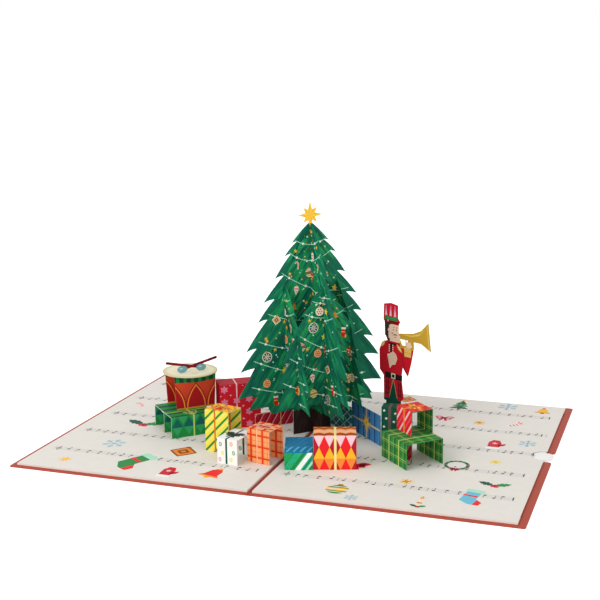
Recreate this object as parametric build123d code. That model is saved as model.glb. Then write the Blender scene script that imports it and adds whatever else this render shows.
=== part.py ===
from build123d import *
import os
from math import atan2, cos, degrees, hypot, pi, radians, sin

os.makedirs("parts", exist_ok=True)

# Card lying open on its back, fold along Y at X = 0, millimetres

# Card as folded: a 5 x 7 inch greeting card
half_width = 127.0
card_length = 177.8

# Sheet thicknesses
cover_sheet = 0.45
liner_sheet = 0.3
note_sheet = 0.3
foot_sheet = 0.25
wall_sheet = 0.3
head_sheet = 0.4

# Small fits
slide_clearance = 0.05
slit_clearance = 0.1
lap_clearance = 0.1
gift_gap = 0.5
overrun = 1.0

# Cover
crease_width = 0.7
crease_depth = 0.12
cover_corner = 1.2
thumb_y = 2.5
notch_length = 13.0
notch_depth = 4.6
notch_corner = 1.6

# White liners, with hems folded under and glued to the cover
fold_border = 1.3
left_border = 2.9
right_border = 3.8
end_border = 3.0
hem_flap = 8.0
thumb_cut_length = 14.0
thumb_cut_depth = 7.2

# Note card in the pocket of the right half
note_side_gap = 0.5
note_tab_width = 11.0
note_tab_corner = 4.0
note_corner = 3.0

# Tabs that pass through slits in the liners, folded flat beneath them
tab_width = 5.0
foot_length = 3.5

# Tree of six interlocked upright sheets, three each way, at 45 degrees to the fold
tree_x = 0.0
tree_y = 4.5
grid_turn = 45.0
slice_spacing = 15.0
tree_height = 112.9
tree_spread = 42.2
side_slice_height = 81.5
side_slice_spread = 29.0
side_slice_lift = 18.0
trunk_width = 22.0
trunk_tab_width = 3.0
branch_bow = 0.4
underside_bow = 0.35
middle_lap_height = 57.0
side_lap_height = 50.0
corner_lap_height = 38.0

# Star, cut in one with the sheet that carries it
star_long_radius = 6.9
star_short_radius = 5.3
star_waist = 2.9
star_points = 8
star_rise = 3.3

# Gift with green triangles, left, and the wall inside it
triangle_t = -71.0
triangle_s = -22.6
triangle_width = 23.7
triangle_depth = 26.7
triangle_height = 11.5
triangle_inner_share = 0.44

# Drum on that gift
drum_width = 21.6
drum_top_width = 23.6
drum_height = 18.8
drum_wall_spacing = 14.9
drum_inset_t = 7.2
drum_inset_s = 11.0
head_diameter = 29.6
head_tab_width = 4.0
stick_width = 1.4
stick_shift = -0.2
stick_setting = 3.2
stick_reach = 14.6
stick_left_rise = 6.4
stick_right_rise = 6.4
mallet_long = 5.6
mallet_short = 3.6
mallet_spread = 5.4
stick_tab_width = 2.4

# Yellow gift
yellow_x = -42.2
yellow_y = -40.2
yellow_turn = -14.0
yellow_width = 14.7
yellow_depth = 11.0
yellow_height = 22.0

# White gift with dots and the orange plaid gift beside it
dots_x = -29.2
dots_y = -55.2
dots_turn = -10.2
dots_width = 11.6
dots_depth = 16.0
dots_height = 12.9
plaid_step = 8.5
plaid_turn = -4.0
plaid_width = 13.3
plaid_depth = 12.0
plaid_height = 17.2

# Blue and green gift and the gift with diamonds beside it
wave_x = 6.1
wave_y = -55.7
wave_turn = 18.1
wave_width = 13.7
wave_depth = 23.9
wave_height = 8.7
diamond_step = 0.3
diamond_width = 20.7
diamond_depth = 13.5
diamond_height = 17.2

# Single walls under the tree, in the directions of its sheets
lattice_s = -9.3
lattice_width = 26.4
lattice_height = 15.5
blue_offset_t = 5.1
blue_s = 7.0
blue_width = 30.7
blue_height = 16.1
ruby_t = -25.3
ruby_offset_s = 2.7
ruby_width = 22.4
ruby_height = 8.3

# Gift with stars, at the end of the blue wall
starry_x = 41.2
starry_y = -6.7
starry_turn = 5.0
starry_width = 8.6
starry_depth = 7.4
starry_height = 20.5

# Green plaid gift, right, and the tall red striped gift that rises through it
green_t = 13.5
green_s = 51.0
green_width = 23.8
green_depth = 20.7
green_height = 13.0
red_width = 14.3
red_depth = 12.1
red_height = 25.3
glue_flap = 3.0

# Snowflake gift
snow_x = -48.0
snow_y = -7.5
snow_turn = 33.0
snow_width = 22.3
snow_depth = 12.0
snow_height = 24.6

# Toy soldier, one upright sheet
soldier_x = 39.5
soldier_y = 20.5
soldier_turn = -30.0
soldier_height = 68.9
soldier_reach = 27.7

# Height of the star's middle, on the apex of its sheet
star_height = tree_height + star_rise

# Levels, from the surface that the card lies on
note_bottom = cover_sheet + slide_clearance
foot_bottom = note_bottom + note_sheet + slide_clearance
liner_bottom = foot_bottom + foot_sheet
page_top = liner_bottom + liner_sheet

# Tips and notches of the branches of a middle sheet, from the top down: shares of spread and height
tree_branch_shares = [
    ((0.255, 0.906), (0.186, 0.911)),
    ((0.353, 0.847), (0.265, 0.857)),
    ((0.481, 0.750), (0.363, 0.761)),
    ((0.638, 0.644), (0.49, 0.656)),
    ((0.716, 0.555), (0.59, 0.565)),
    ((0.88, 0.424), (0.74, 0.436)),
    ((0.96, 0.332), (0.74, 0.345)),
    ((1.00, 0.207), (0.72, 0.217)),
    ((0.86, 0.145), (0.60, 0.151)),
    ((0.54, 0.113), (0.44, 0.122)),
]

# The same for a side sheet, which has no trunk
side_branch_shares = [
    ((0.28, 0.870), (0.20, 0.880)),
    ((0.47, 0.760), (0.36, 0.768)),
    ((0.64, 0.590), (0.57, 0.598)),
    ((0.83, 0.390), (0.67, 0.402)),
    ((1.00, 0.185), (0.76, 0.195)),
    ((0.97, 0.000), (0.60, 0.030)),
]

# Toy soldier's outline, clockwise from the left boot: shares of reach and height
soldier_shares = [
    (-0.17, 0.000), (-0.15, 0.220), (-0.21, 0.225), (-0.22, 0.420),
    (-0.33, 0.460), (-0.34, 0.620), (-0.27, 0.680), (-0.12, 0.705),
    (-0.19, 0.750), (-0.20, 0.850), (-0.23, 0.860), (-0.22, 0.985),
    (-0.04, 1.000), (0.15, 0.990), (0.15, 0.890), (0.21, 0.862),
    (0.17, 0.845), (0.17, 0.775), (0.55, 0.800), (0.75, 0.835),
    (0.93, 0.905), (1.00, 0.690), (0.75, 0.735), (0.56, 0.735),
    (0.57, 0.690), (0.50, 0.560), (0.42, 0.455), (0.28, 0.520),
    (0.25, 0.430), (0.31, 0.270), (0.24, 0.245), (0.24, 0.045),
    (0.30, 0.000),
]
soldier_gap_shares = [(0.20, 0.735), (0.42, 0.738), (0.40, 0.690), (0.26, 0.690)]


def block(length, width, height, x=0.0, y=0.0, z=0.0):
    """A box from its lowest corner."""
    return Pos(x, y, z) * Box(length, width, height, align=(Align.MIN, Align.MIN, Align.MIN))


def slab(sketch, bottom, thickness):
    """A flat sheet of the sketch's outline, from the height bottom up."""
    return extrude(Pos(0, 0, bottom) * sketch, amount=thickness)


def grid_point(t, s):
    """Plan position, t along the first family of tree sheets and s along the second."""
    along, across = cos(radians(grid_turn)), sin(radians(grid_turn))
    return tree_x + t * along + s * across, tree_y + t * across - s * along


def page_place(x, y, turn):
    """Frame on the page: X runs along a wall and Y runs inward from its outer face."""
    return Location((x, y, page_top), (0, 0, turn))


def grid_place(t, s, turn):
    """The same frame, placed on the tree's grid."""
    x, y = grid_point(t, s)
    return page_place(x, y, turn)


def upright_plane(x, y, turn):
    """Plane that stands on the page, its X along the turn and its Y up."""
    along, across = cos(radians(turn)), sin(radians(turn))
    return Plane(origin=(x, y, page_top), x_dir=(along, across, 0), z_dir=(across, -along, 0))


def upright_sheet(sketch, plane, thickness=wall_sheet):
    """A sheet of the sketch's outline, centred on the plane."""
    return extrude(plane * sketch, amount=thickness / 2, both=True)


def foot(width, start):
    """Tab of a wall, down through the liner, and its part folded flat beneath."""
    depth = page_top - foot_bottom
    tab = block(width, wall_sheet, depth, x=start, z=-depth)
    return tab + block(width, foot_length, foot_sheet, x=start, z=-depth)


def slit(width, start):
    """Slit in the liner for that tab."""
    return block(
        width + 2 * slit_clearance,
        wall_sheet + 2 * slit_clearance,
        liner_sheet + 2 * overrun,
        x=start - slit_clearance,
        y=-slit_clearance,
        z=-liner_sheet - overrun,
    )


def tab_start(width):
    """Where a tab begins that sits midway along a wall."""
    return (width - tab_width) / 2


def page_wall(width, height):
    """A single wall that stands on the page."""
    return block(width, wall_sheet, height) + foot(tab_width, tab_start(width))


def far_side(width, depth):
    """Frame of the opposite wall of a gift, seen from behind."""
    return Location((width, depth, 0), (0, 0, 180))


def gift(place, width, depth, height):
    """Two walls and a top, folded from one strip and open at both ends."""
    lid = block(width, depth, wall_sheet, z=height - wall_sheet)
    walls = page_wall(width, height) + far_side(width, depth) * page_wall(width, height)
    return place * (lid + walls)


def gift_slits(place, width, depth):
    """Slits for the two walls of a gift."""
    cut = slit(tab_width, tab_start(width))
    return [place * cut, place * far_side(width, depth) * cut]


def bowed(start, end, bow):
    """Arc between two points, its middle moved off the chord to the left by bow."""
    dx, dy = end[0] - start[0], end[1] - start[1]
    chord = hypot(dx, dy)
    middle = ((start[0] + end[0]) / 2 - bow * dy / chord, (start[1] + end[1]) / 2 + bow * dx / chord)
    return ThreePointArc(start, middle, end)


def branch_edges(shares, spread, lift, height):
    """Right-hand outline of the foliage, from its apex down to its last notch."""
    here = (0, lift + height)
    edges = []
    for tip_share, notch_share in shares:
        tip = (tip_share[0] * spread, lift + tip_share[1] * height)
        notch = (notch_share[0] * spread, lift + notch_share[1] * height)
        edges.append(bowed(here, tip, branch_bow))
        edges.append(bowed(tip, notch, -underside_bow))
        here = notch
    return edges, here


def both_halves(edges):
    """Face of a closed right-hand outline and its mirror image."""
    half = make_face(edges)
    return half + mirror(half, about=Plane.YZ)


def slot(r, bottom, top):
    """Upright slot in a tree sheet for the sheet that crosses it at r."""
    width = wall_sheet + 2 * lap_clearance
    return Pos(r, (bottom + top) / 2) * Rectangle(width, top - bottom)


def middle_outline():
    """Outline of a middle sheet: foliage, arched beneath, and the trunk."""
    edges, last = branch_edges(tree_branch_shares, tree_spread, 0, tree_height)
    trunk = trunk_width / 2
    shoulder = (trunk, last[1])
    edges.append(bowed(last, shoulder, underside_bow))
    edges.append(Line(shoulder, (trunk, 0)))
    edges.append(Line((trunk, 0), (0, 0)))
    edges.append(Line((0, 0), (0, tree_height)))
    return both_halves(edges)


def side_outline():
    """Outline of a side sheet: a smaller tree that hangs clear of the page."""
    height = side_slice_height - side_slice_lift
    edges, last = branch_edges(side_branch_shares, side_slice_spread, side_slice_lift, height)
    centre = (0, last[1])
    edges.append(bowed(last, centre, underside_bow))
    edges.append(Line(centre, (0, side_slice_height)))
    return both_halves(edges)


def star_outline():
    """Star with long and short points by turns, and narrow waists between them."""
    points = []
    for step in range(star_points):
        reach = star_long_radius if step % 2 == 0 else star_short_radius
        for radius, angle in ((reach, 2 * step), (star_waist, 2 * step + 1)):
            turn = pi * angle / star_points
            points.append((radius * sin(turn), star_height + radius * cos(turn)))
    return Polygon(*points, align=None)


def tree_plane(t, s, turn):
    """Plane of a tree sheet."""
    x, y = grid_point(t, s)
    return upright_plane(x, y, turn)


def trunk_foot_start(side):
    """Where the tab at the left (-1) or right (1) corner of the trunk begins."""
    return side * (trunk_width - trunk_tab_width) / 2 - trunk_tab_width / 2


def trunk_frame(t, s, turn):
    """Frame whose Y = 0 is the outer face of a middle sheet."""
    x, y = grid_point(t, s)
    return page_place(x, y, turn) * Pos(0, -wall_sheet / 2, 0)


def trunk_feet(turn):
    """Tabs at the two corners of a trunk."""
    frame = trunk_frame(0, 0, turn)
    return [frame * foot(trunk_tab_width, trunk_foot_start(side)) for side in (-1, 1)]


def trunk_slits(turn):
    """Slits for the tabs of a trunk."""
    frame = trunk_frame(0, 0, turn)
    return [frame * slit(trunk_tab_width, trunk_foot_start(side)) for side in (-1, 1)]


def star_slice():
    """Middle sheet that carries the star, slotted from below at its three crossings."""
    outline = middle_outline() + star_outline()
    outline -= slot(0, -overrun, middle_lap_height + lap_clearance)
    for side in (-1, 1):
        outline -= slot(side * slice_spacing, -overrun, side_lap_height + lap_clearance)
    sheet = upright_sheet(outline, tree_plane(0, 0, grid_turn))
    return fused(sheet, trunk_feet(grid_turn))


def cross_slice():
    """Middle sheet across it, slotted from above in the middle and from below at its sides."""
    outline = middle_outline()
    outline -= slot(0, middle_lap_height, tree_height + overrun)
    for side in (-1, 1):
        outline -= slot(side * slice_spacing, -overrun, side_lap_height + lap_clearance)
    sheet = upright_sheet(outline, tree_plane(0, 0, -grid_turn))
    return fused(sheet, trunk_feet(-grid_turn))


def front_or_back_slice(side):
    """Side sheet parallel to the star sheet, slotted from above in the middle."""
    outline = side_outline() - slot(0, side_lap_height, side_slice_height + overrun)
    for end in (-1, 1):
        outline -= slot(end * slice_spacing, 0, corner_lap_height + lap_clearance)
    return upright_sheet(outline, tree_plane(0, side * slice_spacing, grid_turn))


def left_or_right_slice(side):
    """Side sheet parallel to the cross sheet, slotted from above at its three crossings."""
    outline = side_outline() - slot(0, side_lap_height, side_slice_height + overrun)
    for end in (-1, 1):
        outline -= slot(end * slice_spacing, corner_lap_height, side_slice_height + overrun)
    return upright_sheet(outline, tree_plane(side * slice_spacing, 0, -grid_turn))


def fused(body, pieces):
    """One solid of a body and what is cut in one with it."""
    for piece in pieces:
        body = body + piece
    return body


def cut(body, cutters):
    """A body less each of the cutters."""
    for cutter in cutters:
        body = body - cutter
    return body


def cover():
    """Folded cover sheet, creased along the fold, with a thumb notch at the right edge."""
    outline = RectangleRounded(2 * half_width, card_length, cover_corner)
    notch = Pos(half_width, thumb_y) * Rectangle(2 * notch_depth, notch_length)
    outline -= notch
    mouth = outline.vertices().filter_by_position(
        Axis.X, half_width - crease_depth, half_width + crease_depth
    ).filter_by_position(Axis.Y, thumb_y - notch_length, thumb_y + notch_length)
    outline = fillet(mouth, notch_corner)
    crease = Pos(0, 0, cover_sheet) * Box(crease_width, card_length + overrun, 2 * crease_depth)
    return slab(outline, 0, cover_sheet) - crease


def hemmed_liner(left, right, open_edge):
    """Liner with its edges folded down and under, but for an open edge on the right."""
    width = right - left
    length = card_length - 2 * end_border
    middle = Pos((left + right) / 2, 0)

    def ring(border):
        reach = overrun if open_edge else -border
        inner = Pos((left + border + right + reach) / 2, 0)
        hole = Rectangle(width - border + reach, length - 2 * border)
        return middle * Rectangle(width, length) - inner * hole

    face = slab(middle * Rectangle(width, length), liner_bottom, liner_sheet)
    edge = slab(ring(liner_sheet), cover_sheet, liner_bottom - cover_sheet)
    flap = slab(ring(hem_flap), cover_sheet, liner_sheet)
    return face + edge + flap


def left_liner(slits):
    """Liner of the left half, glued down all round."""
    return cut(hemmed_liner(left_border - half_width, -fold_border, False), slits)


def right_liner(slits):
    """Liner of the right half: a pocket, open at the right, with a cut for the thumb."""
    right = half_width - right_border
    liner = hemmed_liner(fold_border, right, True)
    reach = thumb_cut_depth - thumb_cut_length / 2
    thumb = Pos(right - reach, thumb_y) * Circle(thumb_cut_length / 2)
    thumb += Pos(right, thumb_y) * Rectangle(2 * reach, thumb_cut_length)
    liner -= slab(thumb, liner_bottom - overrun, liner_sheet + 2 * overrun)
    return cut(liner, slits)


def note_card():
    """Plain card in the pocket, with a tab that shows in the notch."""
    left = fold_border + hem_flap + note_side_gap
    right = half_width - right_border - note_side_gap
    length = card_length - 2 * (end_border + hem_flap + note_side_gap)
    sheet = Pos((left + right) / 2, 0) * RectangleRounded(right - left, length, note_corner)
    tab_reach = half_width - right
    root = note_tab_corner + note_side_gap
    tab = Pos(half_width - (tab_reach + root) / 2, thumb_y) * RectangleRounded(
        tab_reach + root, note_tab_width, min(note_tab_corner, (tab_reach + root) / 2 - note_side_gap)
    )
    return slab(sheet + tab, note_bottom, note_sheet)


def triangle_place():
    """Frame of the gift with triangles."""
    return grid_place(triangle_t, triangle_s, grid_turn)


def triangle_inner_wall():
    """Wall inside the gift with triangles, glued under its top by a folded flap."""
    height = triangle_height - wall_sheet
    flap = block(triangle_width, foot_length, wall_sheet, z=height - wall_sheet)
    return triangle_inner_place() * (page_wall(triangle_width, height) + flap)


def triangle_inner_place():
    """Frame of that wall."""
    return triangle_place() * Pos(0, triangle_inner_share * triangle_depth, 0)


def red_gift():
    """Tall gift whose back wall is wider below, where it also closes the green gift."""
    lid = block(red_width, red_depth, wall_sheet, z=red_height - wall_sheet)
    back = block(red_width, wall_sheet, red_height, y=red_depth - wall_sheet)
    back_foot = far_side(green_width, red_depth) * page_wall(green_width, green_height)
    return red_place * (page_wall(red_width, red_height) + lid + back + back_foot)


def red_gift_slits():
    """Slits for its two walls."""
    front = slit(tab_width, tab_start(red_width))
    back = far_side(green_width, red_depth) * slit(tab_width, tab_start(green_width))
    return [red_place * front, red_place * back]


def green_gift():
    """Front wall and top, slotted for the red gift and glued to its back wall by a flap."""
    front = page_wall(green_width, green_height)
    lid = block(green_width, green_depth - wall_sheet, wall_sheet, z=green_height - wall_sheet)
    flap = block(
        green_width - 2 * gift_gap,
        wall_sheet,
        glue_flap,
        x=gift_gap,
        y=green_depth - 2 * wall_sheet,
        z=green_height - wall_sheet - glue_flap,
    )
    passage = block(
        red_width + slit_clearance + overrun,
        wall_sheet + 2 * slit_clearance,
        wall_sheet + 2 * overrun,
        x=-overrun,
        y=green_depth - red_depth - slit_clearance,
        z=green_height - wall_sheet - overrun,
    )
    return green_place * (front + lid + flap - passage)


def drum_place():
    """Frame on top of that gift, at the left end of the drum's front wall."""
    return triangle_place() * Pos(drum_inset_t, drum_inset_s, triangle_height)


def drum_wall_frames():
    """Frames of the front wall and of the back wall, each seen from outside."""
    front = drum_place()
    return front, front * far_side(drum_width, drum_wall_spacing)


def drum_wall(frame):
    """Tapered wall with a glue flap below and a tab through the head above."""
    flare = (drum_top_width - drum_width) / 2
    corners = [
        (0, 0),
        (drum_width, 0),
        (drum_width + flare, drum_height),
        (-flare, drum_height),
    ]
    tab = Pos(drum_width / 2, drum_height + head_sheet / 2) * Rectangle(head_tab_width, head_sheet)
    outline = Polygon(*corners, align=None) + tab
    sheet = extrude(Plane.XZ * outline, amount=-wall_sheet)
    flap = block(tab_width, foot_length, wall_sheet, x=tab_start(drum_width))
    return frame * (sheet + flap)


def drum_head_frame():
    """Frame at the middle of the underside of the drum head."""
    return drum_place() * Pos(drum_width / 2, drum_wall_spacing / 2, drum_height)


def head_slit(width):
    """Slit through the head, centred on its frame."""
    clear = 2 * slit_clearance
    return Box(width + clear, wall_sheet + clear, head_sheet + 2 * overrun)


def drum_head():
    """Round head with slits for the tabs of the walls and of the mallets."""
    head = Cylinder(head_diameter / 2, head_sheet, align=(Align.CENTER, Align.CENTER, Align.MIN))
    wall_line = (drum_wall_spacing - wall_sheet) / 2
    for side in (-1, 1):
        head -= Pos(0, side * wall_line, 0) * head_slit(head_tab_width)
        mallet_x = stick_shift + side * mallet_spread
        head -= Pos(mallet_x, -stick_setting, 0) * head_slit(stick_tab_width)
    return drum_head_frame() * head


def crossed_stick(side, rise):
    """One mallet with its stick: from one side of the drum up to the other."""
    mallet = Vector(side * mallet_spread, mallet_short / 2)
    handle = Vector(-side * stick_reach, rise)
    run = handle - mallet
    lean = degrees(atan2(run.Y, run.X))
    middle = (mallet + handle) / 2
    stick = Pos(middle.X, middle.Y) * Rot(0, 0, lean) * SlotOverall(run.length, stick_width)
    tab = Pos(mallet.X, 0) * Rectangle(stick_tab_width, 2 * head_sheet)
    return stick + Pos(mallet.X, mallet.Y) * Ellipse(mallet_long / 2, mallet_short / 2) + tab


def drum_sticks():
    """Two crossed mallets, one upright sheet with a tab under each of them."""
    outline = crossed_stick(-1, stick_right_rise) + crossed_stick(1, stick_left_rise)
    sheet = extrude(Plane.XZ * outline, amount=wall_sheet / 2, both=True)
    return drum_head_frame() * Pos(stick_shift, -stick_setting, head_sheet) * sheet


def soldier_place():
    """Frame at the middle of the soldier's feet."""
    return page_place(soldier_x, soldier_y, soldier_turn) * Pos(0, -wall_sheet / 2, 0)


def toy_soldier():
    """Toy soldier with a trumpet, one upright sheet with a tab beneath the boots."""
    def scaled(shares):
        return [(along * soldier_reach, up * soldier_height) for along, up in shares]

    outline = Polygon(*scaled(soldier_shares), align=None)
    outline -= Polygon(*scaled(soldier_gap_shares), align=None)
    sheet = upright_sheet(outline, upright_plane(soldier_x, soldier_y, soldier_turn))
    return sheet + soldier_place() * foot(tab_width, -tab_width / 2)


# Frames of the gifts
yellow_place = page_place(yellow_x, yellow_y, yellow_turn)
dots_place = page_place(dots_x, dots_y, dots_turn)
plaid_place = dots_place * Location((dots_width + gift_gap, plaid_step, 0), (0, 0, plaid_turn))
wave_place = page_place(wave_x, wave_y, wave_turn)
diamond_place = wave_place * Pos(wave_width + gift_gap, diamond_step, 0)
lattice_place = grid_place(slice_spacing - wall_sheet / 2, lattice_s, -grid_turn)
blue_place = grid_place(slice_spacing + blue_offset_t, blue_s, -grid_turn)
ruby_place = grid_place(ruby_t, -slice_spacing - ruby_offset_s, grid_turn)
starry_place = page_place(starry_x, starry_y, starry_turn)
green_place = grid_place(green_t, green_s, -grid_turn)
red_place = green_place * Pos(0, green_depth - red_depth, 0)
snow_place = page_place(snow_x, snow_y, snow_turn)

# Gifts on the page, each with its frame and its width, depth and height
page_gifts = {
    "gift_green_triangles": (triangle_place(), triangle_width, triangle_depth, triangle_height),
    "gift_yellow": (yellow_place, yellow_width, yellow_depth, yellow_height),
    "gift_white_dots": (dots_place, dots_width, dots_depth, dots_height),
    "gift_orange_plaid": (plaid_place, plaid_width, plaid_depth, plaid_height),
    "gift_blue_green": (wave_place, wave_width, wave_depth, wave_height),
    "gift_diamonds": (diamond_place, diamond_width, diamond_depth, diamond_height),
    "gift_stars": (starry_place, starry_width, starry_depth, starry_height),
    "gift_snowflakes": (snow_place, snow_width, snow_depth, snow_height),
}

# Single walls on the page, each with its frame, width and height
page_walls = {
    "wall_lattice": (lattice_place, lattice_width, lattice_height),
    "wall_blue_stripes": (blue_place, blue_width, blue_height),
    "wall_dark_red": (ruby_place, ruby_width, ruby_height),
}

pieces = {}
slits = []
for name, (place, width, depth, height) in page_gifts.items():
    pieces[name] = gift(place, width, depth, height)
    slits += gift_slits(place, width, depth)
for name, (place, width, height) in page_walls.items():
    pieces[name] = place * page_wall(width, height)
    slits.append(place * slit(tab_width, tab_start(width)))

pieces["gift_green_inner_wall"] = triangle_inner_wall()
slits.append(triangle_inner_place() * slit(tab_width, tab_start(triangle_width)))

pieces["gift_green_plaid"] = green_gift()
pieces["gift_red_stripes"] = red_gift()
slits.append(green_place * slit(tab_width, tab_start(green_width)))
slits += red_gift_slits()

pieces["tree_star_slice"] = star_slice()
pieces["tree_cross_slice"] = cross_slice()
pieces["tree_front_slice"] = front_or_back_slice(1)
pieces["tree_back_slice"] = front_or_back_slice(-1)
pieces["tree_left_slice"] = left_or_right_slice(-1)
pieces["tree_right_slice"] = left_or_right_slice(1)
slits += trunk_slits(grid_turn)
slits += trunk_slits(-grid_turn)

front_frame, back_frame = drum_wall_frames()
pieces["drum_front_wall"] = drum_wall(front_frame)
pieces["drum_back_wall"] = drum_wall(back_frame)
pieces["drum_head"] = drum_head()
pieces["drum_sticks"] = drum_sticks()

pieces["toy_soldier"] = toy_soldier()
slits.append(soldier_place() * slit(tab_width, -tab_width / 2))

pieces["cover"] = cover()
pieces["left_liner"] = left_liner(slits)
pieces["right_liner"] = right_liner(slits)
pieces["note_card"] = note_card()

for name, solid in pieces.items():
    export_step(solid, f"parts/{name}.step")
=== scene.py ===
import bpy
import numpy as np
from mathutils import Matrix, Vector


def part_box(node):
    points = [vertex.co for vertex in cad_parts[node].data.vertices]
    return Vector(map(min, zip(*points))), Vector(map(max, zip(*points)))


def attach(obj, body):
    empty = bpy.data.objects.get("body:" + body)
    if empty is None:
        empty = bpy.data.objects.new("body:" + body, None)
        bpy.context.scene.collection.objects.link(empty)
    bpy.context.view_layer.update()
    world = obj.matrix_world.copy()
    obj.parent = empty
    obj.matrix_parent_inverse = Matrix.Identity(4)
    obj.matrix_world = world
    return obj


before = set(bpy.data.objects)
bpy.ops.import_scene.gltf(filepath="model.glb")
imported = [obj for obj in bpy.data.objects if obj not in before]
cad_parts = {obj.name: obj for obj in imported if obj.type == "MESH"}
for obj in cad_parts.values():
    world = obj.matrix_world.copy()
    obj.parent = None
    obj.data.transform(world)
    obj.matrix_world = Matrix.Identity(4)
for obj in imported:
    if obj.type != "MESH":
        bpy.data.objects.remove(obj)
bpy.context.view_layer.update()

# Lengths are in millimetres until a mesh is made
MM = 0.001
PAGE = 1.4
CARD = 0.3
FILM_BASE = 0.008
FILM_STEP = 0.014
GRID_CENTRE = 4.5
DIAGONAL = np.sqrt(0.5)

# Colours of card and ink, as red, green and blue of 255
COLOURS = {
    # The cover card is darker than its own bright orange red: partly painted shade, matching the browner look
    # of the border around the pages
    "orange card with some painted shade": (176, 74, 54),
    "page": (236, 231, 223),
    "card core": (236, 232, 222),
    "white": (250, 249, 246),
    "black": (30, 28, 30),
    "stave grey": (176, 176, 178),
    "note grey": (56, 56, 62),
    "fir": (12, 108, 80),
    "fir dark": (6, 84, 70),
    "fir light": (36, 156, 94),
    "fir leaf": (22, 138, 78),
    "fir pale": (84, 184, 128),
    "bark": (36, 26, 24),
    "bark light": (58, 40, 34),
    "mint": (176, 232, 202),
    "gold": (252, 190, 42),
    "gold light": (255, 212, 80),
    "gold dark": (208, 148, 44),
    "red": (212, 26, 44),
    "bright red": (242, 32, 40),
    "deep red": (128, 14, 30),
    "pink": (236, 112, 150),
    "pale pink": (250, 206, 212),
    "tan": (222, 178, 120),
    "brown": (130, 76, 40),
    "orange": (248, 140, 56),
    "light orange": (252, 170, 112),
    "yellow": (244, 226, 74),
    "pale yellow": (250, 232, 150),
    "leaf green": (30, 138, 62),
    "bright green": (30, 164, 84),
    "mid green": (48, 160, 96),
    "plaid green": (54, 150, 62),
    "plaid dark": (24, 104, 52),
    "dark green": (10, 82, 62),
    "teal": (14, 96, 92),
    "sea green": (36, 176, 126),
    "blue": (26, 126, 178),
    "sky": (110, 196, 222),
    "pale blue": (176, 214, 226),
    "wall blue": (72, 134, 190),
    "navy": (20, 60, 122),
    "mallet blue": (120, 168, 178),
    "cream": (244, 236, 204),
    "cream dark": (214, 198, 150),
    "drum red": (224, 76, 44),
    "arch red": (178, 24, 30),
    "ribbon brown": (104, 88, 80),
    "skin": (250, 212, 186),
    "hair": (62, 48, 44),
    "plum": (96, 62, 84),
    "line red": (226, 62, 28),
    "salmon": (252, 190, 150),
    "blush": (246, 156, 180),
    "ivory": (246, 232, 206),
    "cuff": (238, 196, 104),
    "lime": (196, 214, 112),
    "scallop brown": (158, 66, 26),
    "dark rose": (186, 24, 44),
    "trumpet": (204, 162, 56),
    "trumpet light": (232, 200, 96),
}


def colour(name):
    """Linear red, green, blue and alpha: each share of 255 to the power that the screen's curve undoes."""
    share = np.array(COLOURS[name]) / 255
    linear = np.where(share <= 0.04045, share / 12.92, ((share + 0.055) / 1.055) ** 2.4)
    return (*linear.tolist(), 1.0)


class Nodes:
    """A node tree, made node by node from what feeds each one."""

    def __init__(self, tree):
        self.tree = tree
        tree.nodes.clear()

    def node(self, kind, feeds=(), **settings):
        """A node with its settings, and its sockets fed by name or number."""
        made = self.tree.nodes.new(kind)
        for key, value in settings.items():
            setattr(made, key, value)
        for socket, value in dict(feeds).items():
            self.feed(made.inputs[socket], value)
        return made

    def feed(self, socket, value):
        if isinstance(value, bpy.types.NodeSocket):
            self.tree.links.new(value, socket)
        elif isinstance(value, str):
            socket.default_value = colour(value)
        else:
            socket.default_value = value

    def number(self, operation, *values):
        return self.node("ShaderNodeMath", enumerate(values), operation=operation).outputs[0]

    def times(self, a, b):
        return self.number("MULTIPLY", a, b)

    def over(self, a, b):
        return self.number("DIVIDE", a, b)

    def looked_at(self):
        """1 for rays from the camera and for their mirrored and see-through rays, 0 for the rest."""
        rays = self.node("ShaderNodeLightPath").outputs
        seen = rays["Is Camera Ray"]
        for other in ("Is Glossy Ray", "Is Transmission Ray"):
            seen = self.number("MAXIMUM", seen, rays[other])
        return seen


# Printed card: size and depth of its mottle, size and lift of its fibres, and its gloss
MOTTLE_SCALE = 0.22
MOTTLE_LOW = 0.965
MOTTLE_HIGH = 1.03
FIBRE_SCALE = 3.2
FIBRE_LIFT = 0.02
CARD_GLOSS = 0.14


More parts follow.
